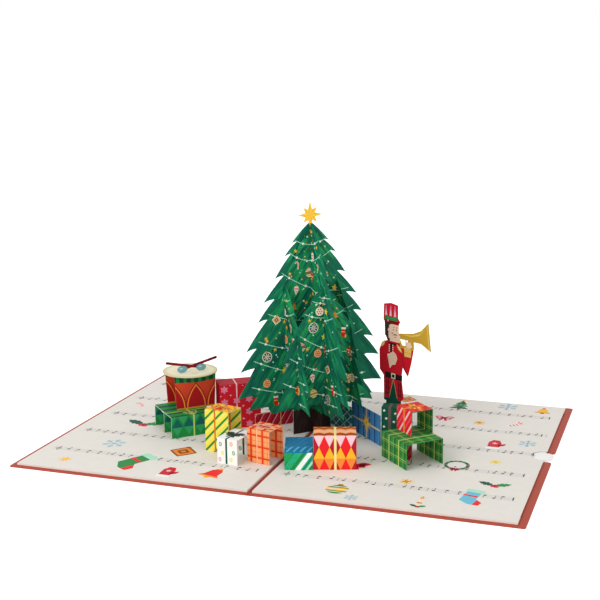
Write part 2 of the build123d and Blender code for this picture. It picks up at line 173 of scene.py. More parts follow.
class Print(Nodes):
    """Colour of one sheet's card, worked out at each point from its place on the sheet."""

    def __init__(self, name):
        self.material = bpy.data.materials.new(name)
        self.material.use_nodes = True
        super().__init__(self.material.node_tree)
        source = self.node("ShaderNodeTexCoord").outputs
        self.facing = source["Normal"]
        scaled = {0: source["Object"], "Scale": 1 / MM}
        self.place = self.node("ShaderNodeVectorMath", scaled, operation="SCALE").outputs["Vector"]

    def vector(self, operation, *values):
        made = self.node("ShaderNodeVectorMath", enumerate(values), operation=operation)
        return made.outputs["Value" if operation == "DOT_PRODUCT" else "Vector"]

    def joined(self, *numbers):
        return self.node("ShaderNodeCombineXYZ", enumerate(numbers)).outputs[0]

    def along(self, origin, direction):
        """How far each point lies from the origin in the direction."""
        away = self.vector("SUBTRACT", self.place, tuple(origin))
        return self.vector("DOT_PRODUCT", away, tuple(direction))

    def faces(self, direction):
        """1 on faces that look along the direction or against it."""
        return self.above(self.size(self.vector("DOT_PRODUCT", self.facing, tuple(direction))), 0.5)

    def blend(self, a, first, b, second):
        """first times a plus second times b."""
        return self.number("MULTIPLY_ADD", b, second, self.times(a, first))

    def plus(self, a, b):
        return self.number("ADD", a, b)

    def minus(self, a, b):
        return self.number("SUBTRACT", a, b)

    def size(self, value):
        return self.number("ABSOLUTE", value)

    def above(self, value, limit):
        return self.number("GREATER_THAN", value, limit)

    def below(self, value, limit):
        return self.number("LESS_THAN", value, limit)

    def between(self, value, low, high):
        return self.both(self.above(value, low), self.below(value, high))

    def both(self, a, b):
        """1 where both masks are 1."""
        return self.times(a, b)

    def phase(self, value, pitch, shift=0.0):
        """Place within each pitch, as a share of it."""
        return self.number("FRACT", self.over(self.plus(value, shift), pitch))

    def repeat(self, value, pitch, share, shift=0.0):
        """1 in the first share of every pitch."""
        return self.below(self.phase(value, pitch, shift), share)

    def saw(self, value, pitch, shift=0.0):
        """Up from 0 to 1 and down again over each pitch."""
        centred = self.minus(self.phase(value, pitch, shift), 0.5)
        return self.minus(1.0, self.times(self.size(centred), 2.0))

    def ease(self, value, low, high):
        """Smoothly from 0 at low to 1 at high."""
        feeds = {"Value": value, "From Min": low, "From Max": high}
        return self.node("ShaderNodeMapRange", feeds, interpolation_type="SMOOTHSTEP").outputs["Result"]

    def noise(self, vector, scale, detail=2.0):
        feeds = {"Vector": vector, "Scale": scale, "Detail": detail}
        return self.node("ShaderNodeTexNoise", feeds).outputs["Fac"]

    def paint(self, base, mask, over, blend_type="MIX"):
        feeds = {0: mask, 6: base, 7: over}
        return self.node("ShaderNodeMix", feeds, data_type="RGBA", blend_type=blend_type).outputs[2]

    def stripes(self, base, *rows):
        """Each row: a value, its pitch, the inked share of it, its shift, the ink and its strength."""
        for value, pitch, share, shift, paint, *strength in rows:
            mask = self.repeat(value, pitch, share, shift)
            base = self.paint(base, self.both(mask, *strength) if strength else mask, paint)
        return base

    def spans(self, base, value, *rows):
        """Each row: where on the value an ink starts, where it ends, and the ink."""
        for low, high, paint in rows:
            base = self.paint(base, self.between(value, low, high), paint)
        return base

    def ribbons(self, base, *rows):
        """Each row: a value, the ribbon's middle on it, its width and its ink."""
        for value, centre, width, paint in rows:
            base = self.spans(base, value, (centre - width / 2, centre + width / 2, paint))
        return base

    def paper(self, base, roughness=0.58, grain=0.35):
        """Printed card: a faint mottle on the colour, and fibres that lift by hundredths of a millimetre."""
        mottle = self.noise(self.place, MOTTLE_SCALE, 3.0)
        feeds = {"Value": mottle, "To Min": MOTTLE_LOW, "To Max": MOTTLE_HIGH}
        shade = self.node("ShaderNodeMapRange", feeds)
        fibres = self.noise(self.place, FIBRE_SCALE, 4.0)
        bump = self.node("ShaderNodeBump", {"Strength": grain, "Distance": FIBRE_LIFT * MM, "Height": fibres})
        shader = self.node("ShaderNodeBsdfPrincipled", {
            "Base Color": self.paint(base, 1.0, shade.outputs["Result"], "MULTIPLY"),
            "Normal": bump.outputs["Normal"],
            "Roughness": roughness,
            "Specular IOR Level": CARD_GLOSS,
        })
        self.node("ShaderNodeOutputMaterial", {"Surface": shader.outputs["BSDF"]})
        return self.material


def dress(node, material):
    """Gives a sheet its printed card."""
    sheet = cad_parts[node]
    if not sheet.material_slots:
        sheet.data.materials.append(material)
    for slot in sheet.material_slots:
        slot.material = material


def place(x, y, turn, z=PAGE):
    """Where a sheet stands: its origin, its direction along and its direction inward."""
    angle = np.radians(turn)
    along = np.array([np.cos(angle), np.sin(angle), 0.0])
    inward = np.array([-np.sin(angle), np.cos(angle), 0.0])
    return np.array([x, y, z]), along, inward


def on_grid(t, s, turn):
    """The tree's grid stands at 45 degrees: t runs along one family of its sheets and s along the other."""
    return place((t + s) * DIAGONAL, GRID_CENTRE + (t - s) * DIAGONAL, turn)


def shifted(start, along=0.0, inward=0.0, up=0.0, turn=0.0):
    """Another place, given within a first one."""
    origin, first, second = start
    x, y, z = origin + along * first + inward * second + np.array([0.0, 0.0, up])
    return place(x, y, np.degrees(np.arctan2(first[1], first[0])) + turn, z)


UP = np.array([0.0, 0.0, 1.0])

# Printed films are lists of an ink, a layer and an outline in the two directions of a face
inks = {}


def ink(name):
    """Ink of one colour on card."""
    if name not in inks:
        inks[name] = Print("ink " + name).paper(name, roughness=0.5, grain=0.2)
    return inks[name]


def made_piece(name, points, faces):
    """Object at the origin, of points in millimetres."""
    mesh = bpy.data.meshes.new(name)
    mesh.from_pydata((np.asarray(points, float) * MM).tolist(), [], faces)
    piece = bpy.data.objects.new(name, mesh)
    bpy.context.scene.collection.objects.link(piece)
    return piece


def film(name, origin, right, up, shapes, body="card"):
    """Printed shapes on a face: each outline is carried from just above the face to its layer, and closed."""
    right, up = np.array(right, float), np.array(up, float)
    out = np.cross(right, up)
    points, faces, paints, used = [], [], [], []
    start = 0
    for paint, layer, outline in shapes:
        outline = np.asarray(outline, float)
        x, y = outline.T
        if (x * np.roll(y, -1) - y * np.roll(x, -1)).sum() < 0:
            outline = outline[::-1]
        if paint not in used:
            used.append(paint)
        flat = np.asarray(origin) + outline[:, :1] * right + outline[:, 1:] * up
        count = len(outline)
        points += [flat + out * FILM_BASE, flat + out * (FILM_BASE + layer * FILM_STEP)]
        ring = np.arange(count)
        after = np.roll(ring, -1)
        faces.append((start + count + ring).tolist())
        faces.append((start + ring[::-1]).tolist())
        walls = np.stack([ring, after, count + after, count + ring], 1) + start
        faces += walls.tolist()
        paints += [used.index(paint)] * (count + 2)
        start += 2 * count
    piece = made_piece(name, np.concatenate(points), faces)
    piece.data.polygons.foreach_set("material_index", paints)
    for paint in used:
        piece.data.materials.append(ink(paint))
    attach(piece, body)


def on_front(name, spot, shapes, depth=0.0):
    """Film on the outer face of a wall."""
    origin, along, inward = spot
    film(name, origin + depth * inward, along, UP, shapes)


def on_back(name, spot, shapes, depth=CARD):
    """Film on the inner face, seen from behind."""
    origin, along, inward = spot
    film(name, origin + depth * inward, -along, UP, shapes)


def on_lid(name, spot, height, shapes):
    origin, along, inward = spot
    film(name, origin + height * UP, along, inward, shapes)


# Outlines


def disc(x, y, r, r2=None, turn=0.0, count=22):
    """Ellipse: r cos t and r2 sin t, turned."""
    t = np.linspace(0, 2 * np.pi, count, endpoint=False)
    a, b = r * np.cos(t), (r2 or r) * np.sin(t)
    c, s = np.cos(turn), np.sin(turn)
    return np.stack([x + a * c - b * s, y + a * s + b * c], 1)


def dot(x, y, r, r2=None, turn=0.0):
    """Small disc with fewer corners."""
    return disc(x, y, r, r2, turn, count=12)


def box(x0, y0, x1, y1):
    return np.array([(x0, y0), (x1, y0), (x1, y1), (x0, y1)], float)


def star(x, y, long, waist, points=5, turn=0.0):
    """Radius long and waist by turns, at equal angles."""
    step = np.arange(2 * points)
    angle = turn + np.pi / 2 + np.pi * step / points
    radius = np.where(step % 2 == 0, long, waist)
    return np.stack([x + radius * np.cos(angle), y + radius * np.sin(angle)], 1)


def strip(line, width):
    """Band along a line: each point moved half the width to either side of the line's run."""
    line = np.asarray(line, float)
    run = np.gradient(line, axis=0)
    run /= np.linalg.norm(run, axis=1, keepdims=True)
    side = np.stack([-run[:, 1], run[:, 0]], 1) * np.reshape(width, (-1, 1)) / 2
    return np.concatenate([line + side, (line - side)[::-1]])


def swag(x0, y0, x1, y1, sag, count=16):
    """Hanging line: the chord less a parabola that is sag deep in the middle."""
    t = np.linspace(0, 1, count)
    return np.stack([x0 + (x1 - x0) * t, y0 + (y1 - y0) * t - 4 * sag * t * (1 - t)], 1)


def arc(x, y, r, start, end, count=12):
    t = np.radians(np.linspace(start, end, count))
    return np.stack([x + r * np.cos(t), y + r * np.sin(t)], 1)


def leaf(x, y, length, width, turn, spikes=0, count=17):
    """From a point outward: half width times sin(pi t), with spikes along both edges if asked."""
    t = np.linspace(0, 1, count)
    half = width / 2 * np.sin(np.pi * t)
    if spikes:
        half = half * (0.62 + 0.38 * np.abs(np.cos(spikes * np.pi * t)))
    edge = np.concatenate([np.stack([t * length, half], 1), np.stack([t * length, -half], 1)[-2:0:-1]])
    return moved(edge, x, y, turn)


def moved(outline, x, y, turn=0.0, size=1.0):
    """Outline scaled, turned and shifted."""
    c, s = np.cos(turn), np.sin(turn)
    a, b = np.asarray(outline, float).T * size
    return np.stack([x + a * c - b * s, y + a * s + b * c], 1)


def all_moved(shapes, x, y, size=1.0, turn=0.0):
    return [(paint, layer, moved(outline, x, y, turn, size)) for paint, layer, outline in shapes]


def belt(low, high):
    """Part of the unit disc between two heights."""
    a = np.linspace(np.arcsin(low), np.arcsin(high), 5)
    side = np.stack([np.cos(a), np.sin(a)], 1)
    return np.concatenate([side, (side * (-1, 1))[::-1]])


def ray(angle, reach):
    return np.array([np.cos(angle), np.sin(angle)]) * reach


# Motifs, each about its own middle and of unit size until it is placed

CAP = [("gold dark", 3, box(-0.22, 0.92, 0.22, 1.25))]


def striped_bauble(base, trim, line):
    return CAP + [
        (base, 3, disc(0, 0, 1)),
        (trim, 4, belt(-0.35, 0.35)),
        (line, 5, belt(-0.08, 0.08)),
        (line, 5, belt(0.55, 0.68)),
        (line, 5, belt(-0.68, -0.55)),
    ]


def dotted_bauble(base, trim, line):
    dots = [(trim, 4, disc(*ray(a, 0.55), 0.17, count=10)) for a in np.arange(6) * np.pi / 3]
    return CAP + [(base, 3, disc(0, 0, 1)), (line, 4, star(0, 0, 0.34, 0.15, 6))] + dots


def wheel_bauble(base, trim, line):
    spokes = [(trim, 5, strip([ray(a, 0.15), ray(a, 0.82)], 0.13)) for a in np.arange(8) * np.pi / 4]
    hub = [("red", 6, disc(0, 0, 0.16, count=10))]
    return CAP + [(line, 3, disc(0, 0, 1.1)), (base, 4, disc(0, 0, 0.95))] + spokes + hub


def biscuit(base, trim, line):
    rows = ((line, 1.25, 0.92), (base, 1.05, 0.76), (trim, 0.6, 0.42), (base, 0.3, 0.2))
    return CAP + [(paint, 3 + k, star(0, 0, long, waist, 4)) for k, (paint, long, waist) in enumerate(rows)]


def drop_bauble(base, trim, line):
    drop = [(0, -1.7), (0.45, -0.75), (0.8, 0.1), (0.62, 0.72), (0, 1.0), (-0.62, 0.72), (-0.8, 0.1),
            (-0.45, -0.75)]
    band = [(-0.74, -0.05), (0.74, -0.05), (0.78, 0.3), (-0.78, 0.3)]
    return CAP + [(base, 3, drop), (trim, 4, band), (line, 5, disc(0, -0.62, 0.2, count=10))]


def cane(base, trim):
    """Hooked stick: a straight run and a half turn, in short lengths of two inks."""
    path = np.concatenate([[(0.0, -1.9 + 0.28 * k) for k in range(8)], arc(-0.5, 0.15, 0.5, 0, 180, 8)])
    bands = [(trim, 4, strip(path[k:k + 2], 0.5)) for k in range(1, len(path) - 1, 2)]
    return [(base, 3, strip(path, 0.5))] + bands


def sock(base, trim, line):
    foot = [(-0.5, 1.0), (0.45, 1.0), (0.5, -0.2), (1.05, -0.62), (1.0, -1.15), (0.3, -1.2), (-0.45, -0.75)]
    return [
        (base, 3, foot),
        (trim, 4, [(0.62, -0.3), (1.05, -0.62), (1.0, -1.15), (0.6, -1.18)]),
        (line, 4, box(-0.64, 0.85, 0.6, 1.35)),
        (trim, 5, box(-0.5, 0.1, 0.47, 0.32)),
    ]


def bell(base, trim, line):
    side = [(0.2, 0.95), (0.5, 0.5), (0.62, -0.35), (0.95, -0.75)]
    return [
        (base, 3, [(-x, y) for x, y in side[::-1]] + side),
        (trim, 4, box(-0.9, -0.78, 0.9, -0.55)),
        (line, 3, dot(0, -0.9, 0.24)),
        (line, 4, dot(0, 1.02, 0.2)),
    ]


def gold_star(base, trim):
    return [(base, 3, star(0, 0, 1, 0.42)), (trim, 4, star(0, 0, 0.55, 0.24))]


def sparkle(base, trim):
    return [(base, 3, star(0, 0, 1, 0.26, 8)), (trim, 4, star(0, 0, 0.62, 0.16, 4, np.pi / 8))]


def snowflake(base, width=0.12):
    """Six arms, each with two pairs of side twigs."""
    twigs = [[(root, 0), (tip, side * reach)]
             for root, tip, reach in ((0.45, 0.72, 0.26), (0.7, 0.9, 0.18)) for side in (1, -1)]
    arm = [strip([(0, 0), (1, 0)], width)] + [strip(twig, 0.85 * width) for twig in twigs]
    return [(base, 3, moved(part, 0, 0, np.pi / 2 + k * np.pi / 3)) for k in range(6) for part in arm]


def bow(base, shade, knot):
    """Four loops, two tails and a knot."""
    shapes = []
    for turn, length in ((0.35, 1.0), (np.pi - 0.35, 1.0), (-0.45, 0.8), (np.pi + 0.45, 0.8)):
        shapes.append((base, 4, leaf(0, 0, length, 0.62, turn)))
        shapes.append((shade, 5, leaf(*ray(turn, 0.25), 0.55 * length, 0.26, turn)))
    for turn in (-1.2, -1.95):
        shapes.append((base, 4, strip([(0, 0), ray(turn, 0.9)], [0.12, 0.26])))
    return shapes + [(knot, 6, dot(0, 0, 0.17))]


def holly():
    return [
        ("leaf green", 3, leaf(0, 0, 1, 0.5, 0.45, spikes=4)),
        ("dark green", 3, leaf(0, 0, 1, 0.5, 2.7, spikes=4)),
        ("bright green", 4, strip([(0.1, 0.05), (0.8, 0.39)], 0.03)),
        ("bright red", 4, dot(-0.06, -0.1, 0.13)),
        ("bright red", 4, dot(0.14, -0.14, 0.13)),
        ("deep red", 5, dot(0.04, 0.04, 0.11)),
    ]


def wreath():
    shapes = []
    for k in range(16):
        angle = k * np.pi / 8
        x, y = ray(angle, 0.72)
        paint = "dark green" if k % 2 else "leaf green"
        shapes.append((paint, 3 + k % 2, leaf(x, y, 0.42, 0.24, angle + 1.9)))
        if k % 4 == 0:
            shapes.append(("bright red", 5, disc(x, y, 0.07, count=10)))
    return shapes + all_moved(bow("red", "deep red", "deep red"), 0, -0.72, 0.4)


def fir():
    """Small tree of three tiers on a stem."""
    shapes = [("brown", 3, box(-0.08, -1.0, 0.08, -0.7))]
    for k, (low, half) in enumerate(((-0.75, 0.62), (-0.25, 0.5), (0.2, 0.36))):
        tier = [(-half, low), (half, low), (0, low + 0.72)]
        shapes.append(("leaf green" if k % 2 else "dark green", 3 + k, tier))
    for x, y in ((-0.2, -0.5), (0.22, -0.42), (0.0, 0.05), (-0.1, 0.45), (0.25, -0.05)):
        shapes.append(("mint", 6, disc(x, y, 0.045, count=8)))
    return shapes + [("gold", 6, star(0, 0.98, 0.16, 0.07))]


def mitten():
    return [
        ("red", 3, [(-0.4, -0.6), (0.4, -0.6), (0.45, 0.3), (0.25, 0.85), (-0.2, 0.9), (-0.45, 0.4)]),
        ("red", 3, leaf(0.3, -0.35, 0.75, 0.36, 0.9)),
        ("white", 4, box(-0.48, -0.95, 0.48, -0.58)),
        ("pale pink", 4, star(0, 0.2, 0.24, 0.1, 6)),
    ]


def candle():
    return [
        ("cream", 3, box(-0.16, -0.7, 0.16, 0.5)),
        ("orange", 4, leaf(0, 0.5, 0.5, 0.24, np.pi / 2)),
        ("gold light", 5, leaf(0, 0.55, 0.3, 0.12, np.pi / 2)),
        ("red", 4, box(-0.16, -0.2, 0.16, -0.05)),
    ] + all_moved(holly(), 0, -0.75, 0.6)


# Staves and doodles of the two pages


STAVE_GAP = 0.95
STEM = 3.1


def staves(left, right, rows, seed):
    """Five ruled lines for each row, with a clef, notes on stems, and bar lines."""
    rng = np.random.default_rng(seed)
    shapes = []

    def note(outline):
        shapes.append(("note grey", 2, outline))

    for y in rows:
        for k in range(5):
            line = y + (k - 2) * STAVE_GAP
            shapes.append(("stave grey", 1, box(left, line - 0.05, right, line + 0.05)))
        x = left + 3.2
        note(strip(arc(x, y - 0.4, 1.2, -60, 250, 12), 0.35))
        note(strip([(x + 0.2, y - 3.0), (x - 0.1, y + 3.1)], 0.32))
        x += 5.5
        beat = 0
        while x < right - 3:
            step = rng.integers(-3, 4) * STAVE_GAP / 2
            note(dot(x, y + step, 0.78, 0.56, 0.4))
            rise = 1 if step < 0.4 else -1
            stem_x = x + 0.52 * rise
            note(box(stem_x - 0.13, y + step, stem_x + 0.13, y + step + rise * STEM))
            if rng.random() < 0.4:
                flag = [(stem_x, y + step + rise * STEM), (stem_x + 0.9, y + step + rise * 1.7)]
                note(strip(flag, [0.6, 0.15]))
            beat += 1
            x += rng.uniform(3.6, 6.6)
            if beat % 4 == 0:
                note(box(x - 1.0, y - 2 * STAVE_GAP, x - 0.82, y + 2 * STAVE_GAP))
                x += 1.8
        note(box(right - 0.6, y - 2 * STAVE_GAP, right, y + 2 * STAVE_GAP))
    return shapes


STAVE_ROWS = (64.0, 33.3, 2.5, -28.5, -59.8)

left_doodles = [
    (sparkle("gold", "gold light"), -104, -74, 4.2),
    (snowflake("pale blue", 0.1), -92, -45, 6.4),
    (sock("leaf green", "bright red", "mint"), -70, -66, 8.6, -0.6),
    (holly(), -92, -12, 12.5),
    (biscuit("orange", "brown", "brown"), -52, -46, 6.0),
    (sparkle("gold", "leaf green"), -74, -18, 4.6),
    (bell("bright red", "orange", "gold"), -25, -70, 6.2, -0.25),
    (mitten(), -47, -75, 7.2),
    (cane("white", "bright red"), -110, 22, 3.2, 0.5),
    (biscuit("light orange", "orange", "orange"), -92, 40, 5.2),
    (snowflake("pale blue", 0.1), -60, 48, 5.4),
    (fir(), -100, 73, 8.0),
    (sparkle("gold", "gold light"), -66, 74, 4.4),
    (wreath(), -30, 64, 6.8),
    (candle(), -76, 22, 6.4),
]

right_doodles = [
    (striped_bauble("leaf green", "gold", "white"), 38, -72, 5.4),
    (sparkle("gold", "gold dark"), 66, -53, 4.6),
    (snowflake("pale blue"), 47, -80, 3.4),
    (candle(), 78, -76, 7.2),
    (sock("sky", "bright red", "mint"), 98, -63, 7.0, -0.2),
    (holly(), 106, -46, 8.6),
    (bow("bright red", "deep red", "red"), 37, -38, 7.6),
    (wreath(), 84, -24, 8.0),
    (sparkle("yellow", "gold"), 101, -14, 4.2),
    (snowflake("pale blue"), 112, 18, 5.0),
    (mitten(), 96, 12, 7.4),
    (cane("white", "bright red"), 103, 48, 3.6, -0.9),
    (sparkle("gold", "gold dark"), 82, 45, 4.6),
    (bow("red", "pale pink", "deep red"), 62, 48, 5.8),
    (fir(), 66, 74, 9.0),
    (snowflake("pale blue", 0.11), 92, 78, 6.0),
    (bell("gold", "gold dark", "red"), 112, 76, 4.6),
    (biscuit("orange", "brown", "brown"), 34, 76, 4.6),
    (sparkle("yellow", "gold"), 58, 20, 3.6),
]


def page_print(name, left, right, doodles, seed):
    shapes = staves(left, right, STAVE_ROWS, seed)
    for motif, *spot_and_size in doodles:
        shapes += all_moved(motif, *spot_and_size)
    film(name, (0, 0, PAGE), (1, 0, 0), (0, 1, 0), shapes)


page_print("left_page_print", -119.0, -6.0, left_doodles, 11)
page_print("right_page_print", 6.0, 117.4, right_doodles, 12)

plain = Print("page card")
dress("left_liner", plain.paper("page", roughness=0.62, grain=0.3))
dress("right_liner", plain.material)
dress("note_card", Print("note card").paper("white", roughness=0.66, grain=0.5))

cover = Print("cover card")
fold = cover.size(cover.along((0, 0, 0), (1, 0, 0)))
# Painted shade: within 1.4 mm of the fold the cover card is darkened towards deep red, standing in for the
# shade in the crease
crease_shade_mask = cover.ease(fold, 1.4, 0.2)
cover_with_crease_shade = cover.paint("orange card with some painted shade", cover.both(crease_shade_mask, 0.3), "deep red")
dress("cover", cover.paper(cover_with_crease_shade, roughness=0.5, grain=0.6))

# Tree

TREE_HEIGHT = 112.9
TRUNK_HEIGHT = 13.6
TRUNK_HALF = 11.1
STAR_HEIGHT = 116.2
SIDE_LIFT = 18.0
NEEDLES = 170
NEEDLE_SLOPE = 0.95
BAUBLE_GAP = 7.8

# Foliage of a middle and of a side sheet: heights with half widths, branch tips with their reach, and swags
MIDDLE_WIDTHS = [(112.9, 0.5), (102.9, 7.8), (96.8, 11.2), (85.9, 15.3), (74.1, 20.7), (63.8, 24.9),
                 (49.2, 31.2), (39.0, 31.2), (24.5, 30.4), (17.0, 25.3), (13.8, 18.6)]
SIDE_WIDTHS = [(81.5, 0.3), (73.9, 5.8), (66.8, 10.4), (56.0, 16.5), (43.5, 19.4), (30.4, 22.0),
               (19.9, 17.4)]
MIDDLE_TIPS = [(102.3, 10.8), (95.6, 14.9), (84.7, 20.3), (72.7, 26.9), (62.7, 30.2), (47.9, 37.1),
               (37.5, 40.5), (23.4, 42.2), (16.4, 36.3)]
SIDE_TIPS = [(73.2, 8.1), (66.3, 13.6), (55.5, 18.6), (42.8, 24.1), (29.7, 29.0), (18.0, 28.1)]
MIDDLE_SWAGS = [(0, 0, 2.8), (1, 1, 5.0), (2, 3, 4.5), (4, 4, 5.5), (5, 5, 7.0), (6, 7, 5.0), (7, 8, 4.0)]
SIDE_SWAGS = [(0, 0, 1.6), (1, 1, 3.0), (2, 3, 3.8), (3, 4, 4.2), (4, 5, 3.5)]

BAUBLES = [
    (striped_bauble, 2.2, "pale yellow", "tan", "brown"),
    (dotted_bauble, 2.3, "ivory", "red", "pink"),
    (biscuit, 2.1, "tan", "brown", "ivory"),
    (wheel_bauble, 2.5, "teal", "ivory", "ivory"),
    (striped_bauble, 2.5, "orange", "red", "brown"),
    (drop_bauble, 1.8, "ivory", "pink", "red"),
    (sock, 2.1, "red", "gold", "ivory"),
    (cane, 1.5, "ivory", "red"),
    (gold_star, 2.1, "gold", "gold light"),
    (striped_bauble, 2.3, "ivory", "leaf green", "red"),
    (dotted_bauble, 2.1, "light orange", "brown", "red"),
    (drop_bauble, 1.8, "red", "gold", "ivory"),
    (bell, 1.8, "gold dark", "orange", "red"),
    (gold_star, 1.9, "yellow", "gold"),
]


def half_width(heights_and_widths, v):
    """Half the width of the foliage at a height, between its notches."""
    heights, widths = np.array(heights_and_widths[::-1], float).T
    return np.interp(v, heights, widths)


def below_tip(tip):
    """Point on a branch a little inside its tip, as a distance from the middle and a height."""
    height, reach = tip
    return 0.82 * reach, height + 0.13 * reach


def tree_print(widths, tips, swags, seed, baubles):
    """Beaded swags from branch to branch, baubles between them, and stars, dots and needles all over."""
    rng = np.random.default_rng(seed)
    low, high = widths[-1][0], widths[0][0]
    shapes = []
    for k in range(NEEDLES):
        v = rng.uniform(low + 4, high - 4)
        room = half_width(widths, v) - 1.5
        u = rng.uniform(-room, room)
        length = rng.uniform(5, 12)
        slant = -NEEDLE_SLOPE if u > 0 else np.pi + NEEDLE_SLOPE
        end_u = abs(u) + length * np.cos(NEEDLE_SLOPE)
        end_v = v - length * np.sin(NEEDLE_SLOPE)
        if end_v < low + 1 or end_u > half_width(widths, end_v) - 0.4:
            continue
        paint = ("fir dark", "fir leaf", "fir light")[k % 3]
        shapes.append((paint, 1 + k % 3, leaf(u, v, length, rng.uniform(0.7, 1.9), slant, count=9)))
    for left_tip, right_tip, sag in swags:
        left, left_height = below_tip(tips[left_tip])
        right, right_height = below_tip(tips[right_tip])
        line = swag(-left, left_height, right, right_height, sag, int(left + right))
        shapes.append(("mint", 4, strip(line, 0.26)))
        for x, y in line[1:-1]:
            shapes.append(("mint", 5, disc(x, y, 0.3, count=6)))
        for x, y in line[4:-2:9]:
            shapes.append(("white", 6, dot(x, y, 0.62)))
    spots = []
    tries = 0
    while len(spots) < baubles and tries < 4000:
        tries += 1
        v = rng.uniform(low + 4, high - 10)
        room = half_width(widths, v) - 4.0
        if room < 0:
            continue
        u = rng.uniform(-room, room)
        if min((np.hypot(u - a, v - b) for a, b in spots), default=99) < BAUBLE_GAP:
            continue
        make, size, *paints = BAUBLES[len(spots) % len(BAUBLES)]
        motif = [(paint, layer + 3, outline) for paint, layer, outline in make(*paints)]
        shapes += all_moved(motif, u, v, size, rng.uniform(-0.25, 0.25))
        spots.append((u, v))
    for k in range(baubles * 5):
        v = rng.uniform(low + 2, high - 5)
        room = half_width(widths, v) - 1.2
        u = rng.uniform(-room, room)
        if room < 2.5 or min(np.hypot(u - a, v - b) for a, b in spots) < 3.6:
            continue
        paint = ("mint", "white", "lime", "pale blue", "fir pale", "mint", "tan")[k % 7]
        if k % 9 == 0:
            shapes.append(("gold", 4, star(u, v, 1.15, 0.45)))
        elif k % 9 == 4:
            shapes.append(("brown", 4, star(u, v, 0.9, 0.45, 8)))
        else:
            shapes.append((paint, 4, disc(u, v, rng.uniform(0.22, 0.52), count=8)))
    return shapes


def tree_card(name, spot, lift):
    """Fir green brushed outward and down, with a trunk below the lowest notch."""
    sheet = Print(name)
    origin, along = spot[:2]
    u = sheet.size(sheet.along(origin, along))
    v = sheet.along(origin, UP)
    lengthways = sheet.times(sheet.blend(u, 0.6, v, -0.8), 0.07)
    crossways = sheet.times(sheet.blend(u, 0.8, v, 0.6), 0.4)
    streak = sheet.noise(sheet.joined(lengthways, crossways, 0.37 * len(name)), 1.0, 3.0)
    base = sheet.paint("fir", sheet.both(sheet.ease(streak, 0.47, 0.34), 0.8), "fir dark")
    base = sheet.paint(base, sheet.both(sheet.ease(streak, 0.5, 0.68), 0.9), "fir light")
    if lift == 0:
        ragged = sheet.blend(sheet.saw(u, 3.1), 1.2, v, 1.0)
        trunk = sheet.both(sheet.below(ragged, TRUNK_HEIGHT), sheet.below(u, TRUNK_HALF))
        grooves = sheet.joined(sheet.times(u, 1.1), sheet.times(v, 0.12), 0.0)
        bark = sheet.paint("bark", sheet.ease(sheet.noise(grooves, 1.0), 0.5, 0.62), "bark light")
        base = sheet.paint(base, trunk, bark)
        base = sheet.paint(base, sheet.above(v, TREE_HEIGHT - 1.0), "gold")
    dress(name, sheet.paper(base, roughness=0.55, grain=0.3))


def star_print():
    """Each ray of the star in a light and a dark half."""
    step = np.arange(16)
    angle = np.pi / 2 + np.pi * step / 8
    radius = np.where(step % 4 == 0, 6.8, np.where(step % 2 == 0, 5.2, 2.85))
    rim = np.stack([radius * np.cos(angle), STAR_HEIGHT + radius * np.sin(angle)], 1)
    centre = np.array([[0.0, STAR_HEIGHT]])
    shapes = []
    for k in range(16):
        paint = "gold light" if k % 2 else "gold"
        shapes.append((paint, 3, np.concatenate([centre, rim[[k, (k + 1) % 16]]])))
    return shapes


tree_sheets = [
    ("tree_star_slice", on_grid(0, 0, 45), 0, 21, 32),
    ("tree_cross_slice", on_grid(0, 0, -45), 0, 22, 32),
    ("tree_front_slice", on_grid(0, 15, 45), SIDE_LIFT, 23, 19),
    ("tree_back_slice", on_grid(0, -15, 45), SIDE_LIFT, 24, 19),
    ("tree_left_slice", on_grid(-15, 0, -45), SIDE_LIFT, 25, 19),
    ("tree_right_slice", on_grid(15, 0, -45), SIDE_LIFT, 26, 19),
]
for node, spot, lift, seed, baubles in tree_sheets:
    tree_card(node, spot, lift)
    outline = (SIDE_WIDTHS, SIDE_TIPS, SIDE_SWAGS) if lift else (MIDDLE_WIDTHS, MIDDLE_TIPS, MIDDLE_SWAGS)
    shapes = tree_print(*outline, seed, baubles)
    if node == "tree_star_slice":
        shapes += star_print()
    on_front(node + "_print", spot, shapes, -CARD / 2)
    on_back(node + "_print_behind", spot, shapes, CARD / 2)

# Gifts: each has a print for its walls, in u along and v up, and one for its lid, in u along and w inward

triangle_spot = on_grid(-71.0, -22.6, 45)
yellow_spot = place(-42.2, -40.2, -14)
dots_spot = place(-29.2, -55.2, -10.2)
plaid_spot = shifted(dots_spot, along=12.1, inward=8.5, turn=-4)
wave_spot = place(6.1, -55.7, 18.1)
diamond_spot = shifted(wave_spot, along=14.2, inward=0.3)
starry_spot = place(41.2, -6.7, 5)
green_spot = on_grid(13.5, 51.0, -45)
red_spot = shifted(green_spot, inward=8.6)
snow_spot = place(-48.0, -7.5, 33)
lattice_spot = on_grid(14.85, -9.3, -45)
blue_spot = on_grid(20.1, 7.0, -45)
ruby_spot = on_grid(-25.3, -17.7, 45)


def wrap(node, spot, wall, lid, edge="card core"):
    """Card of a gift: a wall print on upright faces, a lid print on flat ones, and bare card at cut edges."""
    sheet = Print(node)
    origin, along, inward = spot
    u, w, v = (sheet.along(origin, way) for way in (along, inward, UP))
    base = sheet.paint(edge, sheet.faces(inward), wall(sheet, u, v, w))
    base = sheet.paint(base, sheet.faces(UP), lid(sheet, u, w, v))
    dress(node, sheet.paper(base))


def ribboned(base, centre, width, paint):
    """Plain card with one ribbon over it."""
    return lambda sheet, u, *others: sheet.ribbons(base, (u, centre, width, paint))


TRIANGLE_ROW = 5.6


